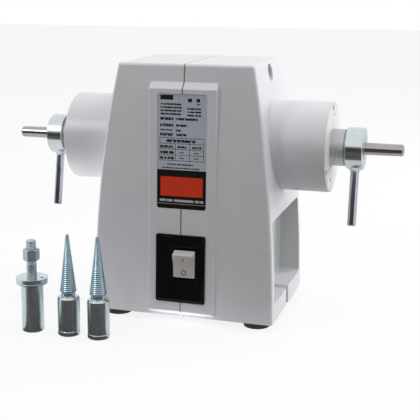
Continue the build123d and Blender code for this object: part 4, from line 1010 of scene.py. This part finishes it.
CLOTH_REACH = 2.4
TOOLS_ACROSS = 0.09
TOOLS_AWAY = 0.05
CLOTH_LEFT = -0.136
CLOTH_RIGHT = 0.7
CLOTH_NEAR = -0.0925
CLOTH_LIFT = 0.0008
cloth_finish = Finish("dark_cloth", roughness=0.95)
along, away, rise = cloth_finish.node("ShaderNodeSeparateXYZ", {0: cloth_finish.place}).outputs
fall_span = {"Value": away, "From Min": -0.52, "From Max": -0.78}
fall = cloth_finish.node("ShaderNodeMapRange", fall_span).outputs[0]
fade_span = {"Value": rise, "From Min": 0.5, "From Max": 0.9}
fade = cloth_finish.node("ShaderNodeMapRange", fade_span).outputs[0]
# Painted streaks for the metal's reflections: they fan out from the tools and darken far off, so the tools
# show them as streaks and dark bands.
from_tools = cloth_finish.math("ADD", along, TOOLS_ACROSS)
sweep = cloth_finish.math("DIVIDE", from_tools, cloth_finish.math("ADD", away, TOOLS_AWAY))
streak = cloth_finish.node("ShaderNodeCombineXYZ", {0: sweep}).outputs[0]
streaks = cloth_finish.noise(2.6, 1.0, streak)
reflected_streaks = cloth_finish.ramp(streaks, (0.05, 0.046, 0.042), (0.15, 0.136, 0.128))
reflected_streaks = cloth_finish.mixed(fall, reflected_streaks, (0.028, 0.025, 0.024))
cloth_finish.colour(cloth_finish.mixed(fade, reflected_streaks, (0.4, 0.4, 0.4)))
tree = cloth_finish.tree
see_through = cloth_finish.node("ShaderNodeBsdfTransparent")
behind = cloth_finish.node("ShaderNodeNewGeometry").outputs["Backfacing"]
either_side = cloth_finish.node("ShaderNodeMixShader", {0: behind, 1: cloth_finish.shader.outputs[0],
                                                        2: see_through.outputs[0]})
tree.links.new(either_side.outputs[0], tree.nodes["Material Output"].inputs["Surface"])
depth = np.linspace(0, 1, 60)[:, None] ** 1.5
share = np.linspace(0, 1, 40)[None, :]
left_edge = CLOTH_LEFT - 0.75 * CLOTH_REACH * depth - 2.4 * np.maximum(CLOTH_REACH * depth - 0.14, 0)
right_edge = CLOTH_RIGHT + 1.2 * CLOTH_REACH * depth
cloth_x = left_edge + (right_edge - left_edge) * share
near_edge = CLOTH_NEAR + 0.02 * np.clip((cloth_x + 0.02) / 0.08, 0, 1)
cloth_y = near_edge - CLOTH_REACH * depth
cloth_z = CLOTH_LIFT + 0.85 * np.clip((depth - 0.5) / 0.5, 0, 1) ** 1.3 + 0 * share
cloth_points = np.stack([cloth_x, cloth_y, cloth_z], axis=-1)
cloth = grid_sheet("dark_cloth", cloth_points[::-1], cloth_finish.material)
cloth.visible_camera = False

world = bpy.data.worlds.new("light_tent")
bpy.context.scene.world = world
world.use_nodes = True
ROOM_LIGHT = 0.5
room = world.node_tree
background = room.nodes["Background"]
background.inputs["Color"].default_value = (1.0, 1.0, 1.0, 1.0)
rays = room.nodes.new("ShaderNodeLightPath").outputs


def world_math(operation, a, b):
    """Math node of the world's tree."""
    node = room.nodes.new("ShaderNodeMath")
    node.operation = operation
    for socket, value in zip(node.inputs, (a, b)):
        if isinstance(value, bpy.types.NodeSocket):
            room.links.new(value, socket)
        else:
            socket.default_value = value
    return node.outputs[0]


straight = world_math("MAXIMUM", rays["Is Camera Ray"], rays["Is Transmission Ray"])
straight = world_math("MAXIMUM", straight, rays["Is Glossy Ray"])
strength = world_math("ADD", world_math("MULTIPLY", straight, 1.0 - ROOM_LIGHT), ROOM_LIGHT)
room.links.new(strength, background.inputs["Strength"])


def soft_lamp(name, place, aim, size, power, mirrored=False):
    """Round area lamp turned to its aim, unseen by the camera and, unless mirrored, by polished metal."""
    data = bpy.data.lights.new(name, "AREA")
    data.shape = "DISK"
    data.size = size
    data.energy = power
    lamp = bpy.data.objects.new(name, data)
    bpy.context.scene.collection.objects.link(lamp)
    lamp.location = place
    lamp.rotation_euler = (Vector(aim) - Vector(place)).to_track_quat("-Z", "Y").to_euler()
    lamp.visible_camera = False
    lamp.visible_glossy = mirrored
    return lamp


FOOT_GLOW_WIDTH = 0.006
soft_lamp("upper_left_lamp", (-0.75, -1.05, 0.98), (0, 0, 0.16), 0.4, 3.5, mirrored=True)
soft_lamp("soft_box", (0.7, 0.2, 1.8), (0.2, 0.05, 0.1), 2.0, 16.0)
soft_lamp("right_lamp", (1.0, 0.95, 0.30), (0, 0.04, 0.17), 0.5, 8.0)
soft_lamp("right_low", (0.8, 0.0, 0.03), (0.13, 0.04, 0.12), 0.25, 1.0)
soft_lamp("left_glow", (-0.32, 0.03, 0.002), (-0.32, 0.03, 0.13), 0.16, 0.9)
foot_glow = soft_lamp("foot_glow", (0.0, -0.032, 0.0012), (0.0, -0.032, 0.1), 0.07, 0.006)
foot_glow.data.shape = "ELLIPSE"
foot_glow.data.size_y = FOOT_GLOW_WIDTH
print("stage set with a floor, a dark cloth and six lamps")
